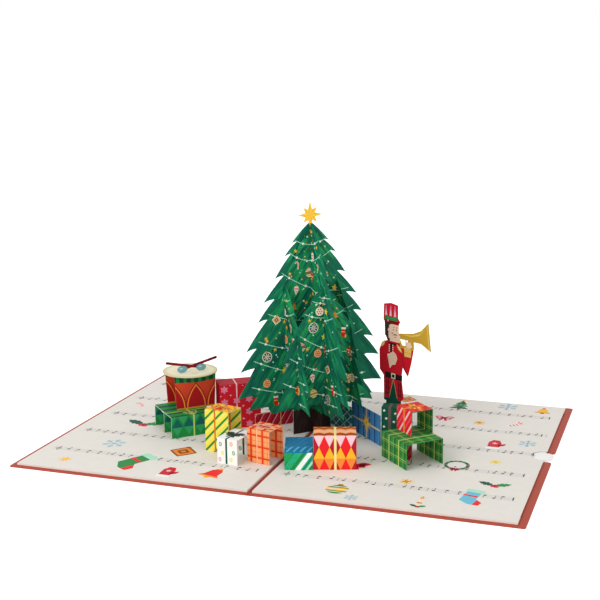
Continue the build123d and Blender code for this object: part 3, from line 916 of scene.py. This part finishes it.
def triangle_wall(sheet, u, v, w):
    """Two rows of tall triangles."""
    tooth = sheet.saw(u, 6.5)
    rise = sheet.over(sheet.minus(v, TRIANGLE_ROW), 5.0)
    fall = sheet.over(sheet.minus(TRIANGLE_ROW, v), 5.0)
    low = sheet.paint("leaf green", sheet.above(tooth, sheet.plus(fall, 0.1)), "mid green")
    peak = sheet.paint("leaf green", sheet.above(tooth, rise), "teal")
    peak = sheet.paint(peak, sheet.below(tooth, sheet.minus(rise, 0.35)), "mid green")
    base = sheet.paint(low, sheet.above(v, TRIANGLE_ROW), peak)
    return sheet.ribbons(base, (u, 12.6, 0.8, "lime"))


def triangle_lid(sheet, u, w, v):
    base = sheet.stripes("leaf green", (w, 6.8, 0.42, 1.0, "dark green"), (w, 6.8, 0.12, 3.6, "plaid green"))
    return sheet.ribbons(base, (w, 8.6, 0.7, "lime"), (u, 12.6, 0.8, "lime"))


def yellow_wall(sheet, u, v, w):
    slant = sheet.blend(u, 0.7, v, -0.7)
    base = sheet.stripes("yellow", (slant, 3.9, 0.28, 0.4, "leaf green"),
                         (slant, 3.9, 0.12, 2.4, "pale yellow"))
    middle = sheet.paint("gold dark", 0.6, "line red")
    base = sheet.paint(base, sheet.both(sheet.below(w, 5.0), sheet.between(u, 5.8, 6.7)), middle)
    return sheet.paint(base, sheet.both(sheet.above(w, 5.0), sheet.between(u, 7.3, 8.2)), middle)


def yellow_lid(sheet, u, w, v):
    base = sheet.stripes("gold", (sheet.blend(u, 0.7, w, 0.7), 3.6, 0.3, 0.0, "gold dark"))
    return sheet.ribbons(base, (w, 5.4, 0.7, "line red"), (u, 6.3, 0.7, "line red"))


def dots_lid(sheet, u, w, v):
    return sheet.ribbons("white", (w, 8.0, 1.1, "dark green"), (u, 5.3, 1.1, "dark green"))


def plaid_wall(sheet, u, v, w):
    """Broad and narrow lines both ways, each pair on a softer band."""
    base = sheet.stripes(
        "light orange",
        (u, 6.9, 0.34, -1.2, "orange", 0.5),
        (v, 5.7, 0.36, -2.0, "orange", 0.5),
        (v, 5.7, 0.05, -5.6, "line red", 0.6),
        (u, 6.9, 0.05, -5.0, "line red", 0.6),
        (v, 5.7, 0.16, -2.4, "line red"),
        (u, 6.9, 0.16, -1.8, "line red"),
    )
    return sheet.ribbons(base, (u, 5.9, 0.6, "salmon"))


def plaid_lid(sheet, u, w, v):
    base = sheet.stripes("light orange", (u, 6.8, 0.3, -1.4, "line red"), (w, 4.0, 0.3, 0.6, "line red"))
    return sheet.ribbons(base, (w, 6.0, 0.7, "salmon"), (u, 5.9, 0.7, "salmon"))


def wave_wall(sheet, u, v, w):
    """Bands that rise to the right, each a span of u less 0.73 v."""
    return sheet.spans(
        "sea green", sheet.blend(u, 1.0, v, -0.73),
        (-7.0, -1.7, "bright green"), (-1.7, -1.3, "teal"), (2.6, 4.4, "leaf green"), (5.1, 7.7, "white"),
        (7.7, 8.7, "sea green"), (8.7, 9.3, "teal"), (10.2, 11.4, "mint"), (11.4, 14.0, "leaf green"),
    )


def wave_lid(sheet, u, w, v):
    """Fine crossed lines behind, short bright strokes in front."""
    fine = sheet.repeat(sheet.blend(u, 0.5, w, 0.87), 1.7, 0.14)
    base = sheet.paint("blue", sheet.both(sheet.above(w, 9.0), 0.25), "navy")
    base = sheet.paint(base, sheet.both(sheet.above(w, 6.5), fine), "sky")
    strokes = sheet.repeat(sheet.blend(u, 0.86, w, -0.3), 2.9, 0.3)
    return sheet.paint(base, sheet.both(sheet.between(w, 1.6, 9.0), strokes), "sky")


DIAMOND_PITCH = 5.18
DIAMOND_ROW = 5.6


def diamond_wall(sheet, u, v, w):
    """Tall diamonds: a point is inside one where the two saws add up to more than one."""
    tooth = sheet.saw(u, DIAMOND_PITCH, DIAMOND_PITCH / 2)
    high = sheet.saw(v, 11.6, 6.0)
    inside = sheet.above(sheet.plus(tooth, high), 1.0)
    base = sheet.paint("orange", sheet.above(v, DIAMOND_ROW), "gold")
    base = sheet.paint(base, sheet.above(v, 11.4), "pale pink")
    reds = sheet.stripes("dark rose", (u, 2 * DIAMOND_PITCH, 0.5, -DIAMOND_PITCH / 2, "bright red"))
    return sheet.ribbons(sheet.paint(base, inside, reds), (u, 10.5, 1.2, "pale yellow"))


def diamond_lid(sheet, u, w, v):
    """Scalloped bands: the depth is pushed out in arcs, then cut into bands."""
    scallop = sheet.number("SQRT", sheet.saw(u, DIAMOND_PITCH))
    wave = sheet.blend(w, 1.0, scallop, -2.0)
    base = sheet.spans("orange", wave, (-0.6, 2.2, "scallop brown"), (3.4, 7.4, "salmon"),
                       (9.2, 11.2, "scallop brown"))
    return sheet.ribbons(base, (u, 10.5, 1.2, "pale yellow"))


def green_wall(sheet, u, v, w):
    """Plaid of soft dark bands and thin pale lines, with a broader pale line every second band."""
    return sheet.stripes(
        "plaid green",
        (u, 4.65, 0.42, -2.4, "plaid dark", 0.85),
        (v, 5.6, 0.4, -0.6, "plaid dark", 0.35),
        (v, 5.6, 0.06, -4.2, "lime", 0.75),
        (v, 5.6, 0.05, -3.2, "lime", 0.4),
        (u, 4.65, 0.06, -2.0, "lime", 0.6),
        (u, 9.3, 0.085, -6.8, "lime"),
    )


def red_wall(sheet, u, v, w):
    """Striped in front, and green plaid where the wall behind shows."""
    slant = sheet.blend(u, 0.78, v, -0.62)
    base = sheet.stripes("bright red", (slant, 5.4, 0.2, 1.2, "pale pink"), (slant, 5.4, 0.08, 3.6, "pink"))
    base = sheet.ribbons(base, (u, 7.0, 1.4, "orange"))
    return sheet.paint(base, sheet.above(w, 6.0), green_wall(sheet, u, v, w))


def red_lid(sheet, u, w, v):
    base = sheet.stripes("line red", (sheet.blend(u, 0.5, w, 0.86), 4.4, 0.35, 0.0, "red"))
    return sheet.ribbons(base, (w, 6.0, 1.2, "orange"), (u, 7.0, 1.2, "orange"))


def lattice_wall(sheet, u, v, w):
    first = sheet.repeat(sheet.blend(u, 0.28, v, 0.96), 4.2, 0.09)
    second = sheet.repeat(sheet.blend(u, -0.6, v, 0.8), 3.5, 0.11)
    return sheet.paint("teal", sheet.number("MAXIMUM", first, second), "pale blue")


def blue_wall(sheet, u, v, w):
    base = sheet.stripes("wall blue", (u, 5.9, 0.3, -2.6, "blue", 0.6), (u, 5.9, 0.19, -0.9, "navy"))
    return sheet.ribbons(base, (u, 16.3, 0.9, "cream dark"), (v, 8.1, 1.0, "cream dark"))


def ruby_wall(sheet, u, v, w):
    slant = sheet.blend(u, 0.85, v, -0.53)
    base = sheet.stripes("dark rose", (slant, 3.7, 0.34, 1.2, "deep red", 0.7),
                         (slant, 3.7, 0.13, 0.0, "blush"))
    base = sheet.ribbons(base, (u, 15.0, 0.5, "tan"))
    return sheet.paint(base, sheet.above(v, 7.9), "salmon")


starry_wall = ribboned("dark green", 4.2, 1.5, "ribbon brown")
snow_wall, snow_lid = (ribboned(base, 9.3, 0.7, "pale pink") for base in ("red", "dark rose"))

wrap("gift_green_triangles", triangle_spot, triangle_wall, triangle_lid)
wrap("gift_green_inner_wall", triangle_spot, triangle_wall, triangle_lid)
wrap("gift_yellow", yellow_spot, yellow_wall, yellow_lid, "pale yellow")
wrap("gift_white_dots", dots_spot, ribboned("white", 5.3, 1.1, "dark green"), dots_lid)
wrap("gift_orange_plaid", plaid_spot, plaid_wall, plaid_lid, "salmon")
wrap("gift_blue_green", wave_spot, wave_wall, wave_lid)
wrap("gift_diamonds", diamond_spot, diamond_wall, diamond_lid, "salmon")
wrap("gift_stars", starry_spot, starry_wall, starry_wall, "dark green")
wrap("gift_green_plaid", green_spot, green_wall, green_wall, "plaid green")
wrap("gift_red_stripes", red_spot, red_wall, red_lid, "plaid dark")
wrap("gift_snowflakes", snow_spot, snow_wall, snow_lid, "dark rose")
wrap("wall_lattice", lattice_spot, lattice_wall, lattice_wall, "teal")
wrap("wall_blue_stripes", blue_spot, blue_wall, blue_wall, "blue")
wrap("wall_dark_red", ruby_spot, ruby_wall, ruby_wall)


def rings(places, paints):
    """Sparse rings with a dot in each."""
    shapes = []
    for k, (x, y) in enumerate(places):
        paint = paints[k % len(paints)]
        shapes.append((paint, 2, disc(x, y, 0.85, 1.15, count=16)))
        shapes.append(("white", 3, dot(x, y, 0.5, 0.75)))
        shapes.append((paint, 4, disc(x, y, 0.22, 0.4, count=8)))
    return shapes


def above_page(shapes, foot=0.1):
    """Outlines cut off flat at the foot of the wall, without those that end below it."""
    return [(paint, layer, np.maximum(outline, (-np.inf, foot))) for paint, layer, outline in shapes
            if outline[:, 1].max() > foot + 0.1]


def twins(node, spot, depth, shapes, width):
    """The same film on a gift's front wall and on its back wall."""
    on_front(node + "_print", spot, shapes)
    origin, along, inward = spot
    film(node + "_print_behind", origin + depth * inward + width * along, -along, UP, shapes)


DOTS_WIDTH = 11.6
DOTS_DEPTH = 16.0
dot_paints = ("bright green", "yellow", "pink", "orange")
outer_rings = rings([(1.9, 9.8), (3.0, 5.4), (1.5, 1.8), (8.2, 10.6), (9.5, 6.2), (7.9, 2.5)], dot_paints)
inner_rings = rings([(2.5, 9.4), (8.6, 9.0), (3.4, 3.0), (9.2, 3.4)], ("leaf green", "gold dark"))
twins("gift_white_dots", dots_spot, DOTS_DEPTH, outer_rings, DOTS_WIDTH)
on_front("gift_white_dots_print_inside", dots_spot, inner_rings, DOTS_DEPTH - CARD)

# Bows on the lids: gift, its place, the lid's height, the bow's inks, its place on the lid and its size
for gift, spot, height, paints, x, y, size in (
    ("gift_white_dots", dots_spot, 12.9, ("dark green", "plum", "plum"), 5.2, 8.0, 5.6),
    ("gift_yellow", yellow_spot, 22.0, ("line red", "gold", "line red"), 6.6, 5.4, 5.0),
    ("gift_orange_plaid", plaid_spot, 17.2, ("salmon", "pink", "line red"), 6.4, 6.0, 5.4),
    ("gift_red_stripes", red_spot, 25.3, ("orange", "gold light", "line red"), 7.0, 6.0, 4.6),
    ("gift_green_triangles", triangle_spot, 11.5, ("lime", "leaf green", "lime"), 12.6, 4.6, 4.2),
):
    on_lid(gift + "_bow", spot, height, all_moved(bow(*paints), x, y, size))

flakes = []
for x, low in ((2.6, 0.8), (9.3, 1.4), (16.0, 2.0)):
    for y in low + 7.0 * np.arange(4):
        if y > 22.6 or x == 9.3 and y > 16:
            continue
        flakes += [("pink", 2, star(x, y, 2.3, 1.3, 6))] + all_moved(snowflake("blush", 0.14), x, y, 1.9)
        if y > 4:
            flakes.append(("pale pink", 2, disc(x + 3.35, y - 3.2, 0.42, count=8)))
for x, y in ((5.8, 24.0), (0.6, 18.4), (13.0, 12.4), (0.7, 11.6), (13.2, 5.0), (20.6, 12.0), (20.8, 19.0),
             (12.6, 23.6)):
    flakes.append(("pale pink", 2, disc(x, y, 0.3, count=8)))
twins("gift_snowflakes", snow_spot, 12.0, above_page(flakes), 22.3)

stars = [("white", 2, star(x, y, 0.85, 0.36)) for x, y in
         ((1.4, 18.8), (2.5, 14.6), (1.3, 10.2), (2.4, 6.0), (1.4, 2.2), (7.1, 17.4), (6.4, 13.0), (7.2, 8.4),
          (6.5, 4.2))]
twins("gift_stars", starry_spot, 7.4, stars, 8.6)

small_fir = np.array([(-0.9, 0.0), (0.9, 0.0), (0.0, 1.7)])
patches = [("bright green", 2, moved(small_fir, x, y))
           for x, y in ((2.0, 4.4), (4.6, 2.6), (3.6, 5.8), (1.2, 0.4))]
patches += [("mid green", 3, moved(small_fir, x, y, 0.3, 0.7))
            for x, y in ((0.9, 6.6), (3.2, 0.6), (5.6, 6.0), (2.4, 2.6))]
on_front("gift_blue_green_print", wave_spot, patches)

starburst = [("gold dark", 4, star(0, 0, 6.0, 1.3, 9)), ("gold", 5, star(0, 0, 5.2, 1.1, 9)),
             ("gold light", 6, star(0, 0, 3.4, 0.9, 9, 0.35)), ("gold dark", 7, dot(0, 0, 0.9))]
on_front("wall_blue_stripes_bow", blue_spot, all_moved(starburst, 16.3, 8.4))

# Drum

DRUM_WIDTH = 21.6
DRUM_FLARE = 1.0 / 18.8
DRUM_SPACING = 14.9
ARCH_BANDS = (("deep red", 5.9, 14.0), ("orange", 5.4, 13.3), ("arch red", 4.7, 12.2))
drum_spot = shifted(triangle_spot, along=7.2, inward=11.0, up=11.5)
stick_spot = shifted(drum_spot, along=10.6, inward=4.25, up=19.2)


def drum_wall(sheet, u, v, w):
    """Green band under the head, orange red below, and a gold border at the foot."""
    from_middle = sheet.size(sheet.minus(u, 12.0))
    band_foot = sheet.plus(14.0, sheet.times(from_middle, 0.09))
    base = sheet.paint("drum red", sheet.both(sheet.ease(v, 15.0, 1.0), 0.65), "arch red")
    side = sheet.ease(sheet.size(sheet.minus(u, 8.0)), 9.0, 15.0)
    base = sheet.paint(base, sheet.both(side, 0.35), "deep red")
    band = sheet.stripes("dark green", (u, 4.2, 0.42, 0.0, "leaf green"))
    base = sheet.paint(base, sheet.above(v, band_foot), band)
    return sheet.paint(base, sheet.below(v, 0.8), "gold dark")


for node in ("drum_front_wall", "drum_back_wall"):
    wrap(node, drum_spot, drum_wall, drum_wall, "arch red")


def pointed_arch(x, half, low, high, count=11):
    """Two mirrored sides that lean in as the square of the height."""
    t = np.linspace(0, 1, count)
    side = np.stack([half * (1 - t ** 2), low + (high - low) * t], 1)
    return np.concatenate([side, (side * (-1, 1))[-2::-1]]) + (x, 0)


def within_wall(outline):
    """Keeps an outline's points between the two slanting edges of the wall."""
    x, y = outline.T
    flare = y * DRUM_FLARE
    return np.stack([np.clip(x, 0.1 - flare, DRUM_WIDTH - 0.1 + flare), y], 1)


arches = [(paint, 2 + k, within_wall(pointed_arch(x, half, 0.9, high)))
          for x in (-0.6, 11.1, 22.8) for k, (paint, half, high) in enumerate(ARCH_BANDS)]
twins("drum_walls", drum_spot, DRUM_SPACING, arches, DRUM_WIDTH)
on_front("drum_walls_print_inside", drum_spot, arches, DRUM_SPACING - CARD)

head = Print("drum head")
dx, dy = (0.5 * (np.array(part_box("drum_head")[0]) + np.array(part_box("drum_head")[1])) / MM)[:2]
out = head.vector("SUBTRACT", head.place, (dx, dy, 0.0))
flat_out = head.vector("MULTIPLY", out, (1.0, 1.0, 0.0))
radius = head.number("SQRT", head.vector("DOT_PRODUCT", flat_out, flat_out))
rim = head.ease(radius, 11.5, 14.6)
dress("drum_head", head.paper(head.paint("cream", head.both(rim, 0.8), "cream dark"), roughness=0.6))

MALLET_APART = 5.4
MALLET_LONG = 2.8
MALLET_SHORT = 1.8
MALLET_EDGE = 0.1
sticks = Print("drum sticks")
su, sv = (sticks.along(stick_spot[0], way) for way in (stick_spot[1], UP))
offset = sticks.over(sticks.minus(sticks.size(su), MALLET_APART), MALLET_LONG + MALLET_EDGE)
rise = sticks.over(sticks.minus(sv, MALLET_SHORT), MALLET_SHORT + MALLET_EDGE)
far = sticks.plus(sticks.number("POWER", offset, 2.0), sticks.number("POWER", rise, 2.0))
wood = sticks.paint("deep red", sticks.below(far, 1.0), "mallet blue")
dress("drum_sticks", sticks.paper(wood, roughness=0.5))
mallets = []
for x in (-MALLET_APART, MALLET_APART):
    mallets.append(("mallet blue", 3, disc(x, MALLET_SHORT, MALLET_LONG - 0.2, MALLET_SHORT - 0.2)))
    mallets.append(("pale blue", 4, disc(x - 0.6, MALLET_SHORT + 0.5, 1.0, 0.45)))
on_front("drum_sticks_print", stick_spot, mallets, -CARD / 2)
on_back("drum_sticks_print_behind", stick_spot, mallets, CARD / 2)

# Toy soldier: fields of colour on the sheet and printed shapes on it

soldier_spot = place(39.5, 20.5, -30)
soldier = Print("toy soldier")
ku, kv = (soldier.along(soldier_spot[0], way) for way in (soldier_spot[1], UP))
brass = soldier.both(soldier.above(ku, 5.9), soldier.above(kv, 46.0))
base = soldier.paint("dark green", soldier.above(kv, 17.0), "red")
base = soldier.paint(base, soldier.above(kv, 48.4), soldier.paint("hair", soldier.above(ku, -1.6), "skin"))
base = soldier.paint(base, soldier.above(kv, 57.6), "red")
dress("toy_soldier", soldier.paper(soldier.paint(base, brass, "trumpet")))

soldier_shapes = [
    ("leaf green", 2, box(-5.4, 59.6, 3.7, 61.5)),
    ("mid green", 3, box(-4.2, 60.1, 2.6, 61.0)),
    ("skin", 2, [(-2.6, 50.2), (-0.6, 48.9), (2.4, 48.9), (4.2, 51.0), (4.35, 53.2), (4.4, 57.4),
                 (-1.8, 57.8), (-2.7, 55.2)]),
    ("hair", 3, [(-5.2, 51.0), (-3.1, 51.0), (-2.4, 53.6), (-2.1, 57.0), (0.6, 58.2), (-5.2, 58.2)]),
    ("skin", 4, dot(-2.5, 54.3, 0.55, 0.95)),
    ("hair", 3, disc(1.1, 54.9, 0.32, 0.4, count=10)),
    ("hair", 3, disc(3.3, 54.9, 0.3, 0.4, count=10)),
    ("hair", 3, strip([(0.5, 56.1), (1.7, 56.3)], 0.25)),
    ("hair", 3, strip([(2.8, 56.3), (3.9, 56.1)], 0.25)),
    ("pink", 3, dot(0.3, 52.9, 0.6, 0.5)),
    ("hair", 3, strip(swag(1.1, 51.9, 3.7, 51.9, -0.5, 7), 0.5)),
    ("red", 3, strip([(1.8, 50.9), (3.0, 50.9)], 0.32)),
    ("deep red", 2, [(-5.6, 58.1), (5.3, 58.1), (4.4, 59.4), (-5.5, 59.6)]),
    ("blush", 3, dot(-3.0, 59.2, 0.6)),
    ("cuff", 2, leaf(-8.2, 44.2, 5.0, 1.8, 0.9)),
    ("pale yellow", 3, leaf(-7.7, 44.6, 3.6, 0.7, 0.9)),
    ("cuff", 2, leaf(3.4, 47.4, 5.8, 1.7, -0.78)),
    ("pale yellow", 3, leaf(3.9, 46.8, 4.2, 0.6, -0.78)),
    ("black", 2, box(-2.6, 46.4, 2.8, 47.6)),
    ("black", 2, box(-1.25, 41.6, 0.05, 46.6)),
    ("skin", 4, [(-3.1, 40.2), (-1.0, 42.2), (1.6, 42.8), (3.2, 41.6), (3.9, 39.4), (2.6, 36.2), (0.2, 35.6),
                 (-1.0, 34.2), (-2.2, 36.4)]),
    ("white", 3, [(-3.4, 40.6), (-2.6, 41.4), (-0.6, 34.4), (-1.5, 33.6)]),
    ("tan", 5, strip([(0.4, 41.4), (3.2, 40.6)], 0.18)),
    ("tan", 5, strip([(0.6, 39.8), (3.5, 39.2)], 0.18)),
    ("tan", 5, strip([(0.6, 38.2), (3.0, 37.6)], 0.18)),
    ("black", 2, [(-5.1, 31.2), (7.5, 30.9), (7.4, 28.0), (-4.9, 27.9)]),
    ("ivory", 3, box(-0.5, 28.2, 2.6, 31.1)),
    ("black", 4, box(0.1, 28.8, 2.0, 30.5)),
    ("dark green", 2, [(1.1, 27.9), (3.9, 18.2), (4.4, 16.0), (-2.0, 16.0), (-1.6, 18.2)]),
    ("tan", 3, strip([(1.0, 27.8), (-1.7, 17.8)], 0.3)),
    ("tan", 3, strip([(1.2, 27.8), (4.1, 17.8)], 0.3)),
    ("teal", 2, strip([(1.2, 16.0), (1.2, 1.0)], 0.35)),
    ("black", 2, [(-4.3, 0.1), (7.2, 0.1), (6.4, 3.0), (6.3, 5.4), (-4.0, 5.4), (-4.1, 2.0)]),
    ("gold", 3, box(-4.0, 5.2, 6.3, 5.9)),
    ("trumpet", 2, [(4.8, 53.4), (14.6, 54.4), (20.2, 56.4), (24.8, 60.6), (26.6, 48.6), (20.4, 51.6),
                    (14.8, 52.2), (4.8, 52.4)]),
    ("trumpet light", 3, [(6.0, 53.3), (14.6, 54.0), (20.0, 55.8), (23.4, 58.6), (19.6, 54.6),
                          (14.0, 53.2)]),
    ("gold dark", 3, [(8.0, 52.6), (14.8, 52.6), (20.6, 52.4), (25.2, 50.2), (20.4, 52.0), (14.8, 52.3)]),
    ("trumpet light", 3, strip([(24.9, 60.6), (26.8, 48.2)], 0.5)),
    ("trumpet", 3, strip([(10.2, 52.0), (10.2, 47.6), (14.6, 46.6)], 0.7)),
    ("skin", 5, [(10.4, 49.8), (13.4, 50.0), (14.6, 47.8), (13.2, 46.6), (10.6, 46.8)]),
    ("cuff", 4, [(8.9, 46.9), (14.1, 46.2), (13.8, 42.0), (9.2, 41.9)]),
    ("gold dark", 5, strip([(9.1, 44.4), (13.9, 44.0)], 0.25)),
    ("deep red", 2, strip([(6.6, 44.4), (9.0, 36.0), (11.0, 32.2)], 0.35)),
]
for x in (-4.4, -1.1, 2.1):
    for paint, layer, narrow, wide, high, low in (("pink", 2, 0.4, 1.0, 67.4, 61.8),
                                                  ("pale pink", 3, 0.1, 0.7, 65.4, 61.9)):
        flute = [(x - narrow, high), (x + narrow, high), (x + wide, low), (x - wide, low)]
        soldier_shapes.append((paint, layer, flute))
soldier_shapes += [("ivory", 3, disc(x, 42.9 + 1.15 * k, 0.38, count=10))
                   for k in range(4) for x in (-1.9, 0.7)]
soldier_shapes += [("deep red", 2, box(x, 18.6, x + 0.6, 27.6)) for x in (-4.1, -2.7, 4.7, 6.1)]
soldier_shapes += [("deep red", 2, box(x0, y, x1, y + 0.5))
                   for y in (19.6, 22.4, 25.2) for x0, x1 in ((-4.4, -2.0), (4.5, 7.0))]
on_front("toy_soldier_print", soldier_spot, soldier_shapes, -CARD / 2)
on_back("toy_soldier_print_behind", soldier_spot, [
    ("leaf green", 2, box(-3.7, 59.6, 5.4, 61.5)),
    ("deep red", 2, box(-4.2, 58.1, 5.4, 59.4)),
    ("black", 2, box(-7.3, 28.0, 4.9, 31.0)),
    ("ivory", 3, box(-2.6, 28.2, 0.5, 31.1)),
    ("black", 4, box(-2.0, 28.8, -0.1, 30.5)),
    ("deep red", 2, box(-1.4, 17.2, -1.1, 27.8)),
    ("cuff", 2, [(-14.0, 46.2), (-9.0, 46.8), (-9.3, 42.0), (-13.7, 42.0)]),
    ("black", 2, box(-6.4, 0.2, 4.0, 5.4)),
], CARD / 2)

# Floor, light and camera

FLOOR_REACH = 4000.0
FLOOR_TONE = (0.93, 0.93, 0.93, 1)
FLOOR_GLOW = 0.55
WORLD_LIGHT = 0.72
WHITE = (1, 1, 1, 1)

corners = np.array([(-1, -1, 0), (1, -1, 0), (1, 1, 0), (-1, 1, 0)])
floor = made_piece("floor", FLOOR_REACH * corners, [(0, 1, 2, 3)])
ground = bpy.data.materials.new("floor")
ground.use_nodes = True
stage = Nodes(ground.node_tree)
matt = stage.node("ShaderNodeBsdfDiffuse", {"Color": FLOOR_TONE})
shine = stage.times(stage.looked_at(), FLOOR_GLOW)
glow = stage.node("ShaderNodeEmission", {"Color": WHITE, "Strength": shine})
total = stage.node("ShaderNodeAddShader", {0: matt.outputs[0], 1: glow.outputs[0]})
stage.node("ShaderNodeOutputMaterial", {"Surface": total.outputs[0]})
floor.data.materials.append(ground)

scene = bpy.context.scene
scene.world = bpy.data.worlds.new("studio")
scene.world.use_nodes = True
studio = Nodes(scene.world.node_tree)
level = studio.node("ShaderNodeMapRange", {"Value": studio.looked_at(), "To Min": WORLD_LIGHT, "To Max": 1.0})
fill = studio.node("ShaderNodeBackground", {"Color": WHITE, "Strength": level.outputs["Result"]})
studio.node("ShaderNodeOutputWorld", {"Surface": fill.outputs[0]})


def lamp(name, where, target, size, power):
    """Square lamp in metres and watts, turned from its place to its target."""
    data = bpy.data.lights.new(name, "AREA")
    data.size = size
    data.energy = power
    lit = bpy.data.objects.new(name, data)
    scene.collection.objects.link(lit)
    lit.location = where
    lit.rotation_mode = "QUATERNION"
    lit.rotation_quaternion = Vector(np.array(target) - np.array(where)).to_track_quat("-Z", "Y")


lamp("key", (-0.5, -0.8, 0.8), (0, 0, 0.03), 0.7, 4.6)
lamp("front", (0.45, -1.2, 0.3), (0, 0, 0.05), 0.9, 3.2)

# Camera as fitted to the card's edges and fold: lens and sensor in millimetres, angles in degrees
LENS = 69.3
SENSOR = 36.0
CAMERA_PLACE = np.array([190.6, -552.4, 197.3])
YAW, PITCH, ROLL = np.radians([19.451, 11.925, -0.692])
forward = np.array([-np.sin(YAW) * np.cos(PITCH), np.cos(YAW) * np.cos(PITCH), -np.sin(PITCH)])
level_right = np.array([np.cos(YAW), np.sin(YAW), 0.0])
level_up = np.cross(level_right, forward)
right = np.cos(ROLL) * level_right + np.sin(ROLL) * level_up
up = -np.sin(ROLL) * level_right + np.cos(ROLL) * level_up
view = bpy.data.cameras.new("view")
view.sensor_width = SENSOR
view.lens = LENS
view.clip_start = 0.01
view.clip_end = 50.0
camera = bpy.data.objects.new("view", view)
scene.collection.objects.link(camera)
rows = np.eye(4)
rows[:3, 0], rows[:3, 1], rows[:3, 2] = right, up, -forward
rows[:3, 3] = CAMERA_PLACE * MM
camera.matrix_world = Matrix(rows.tolist())
scene.camera = camera
scene.view_settings.view_transform = "Standard"
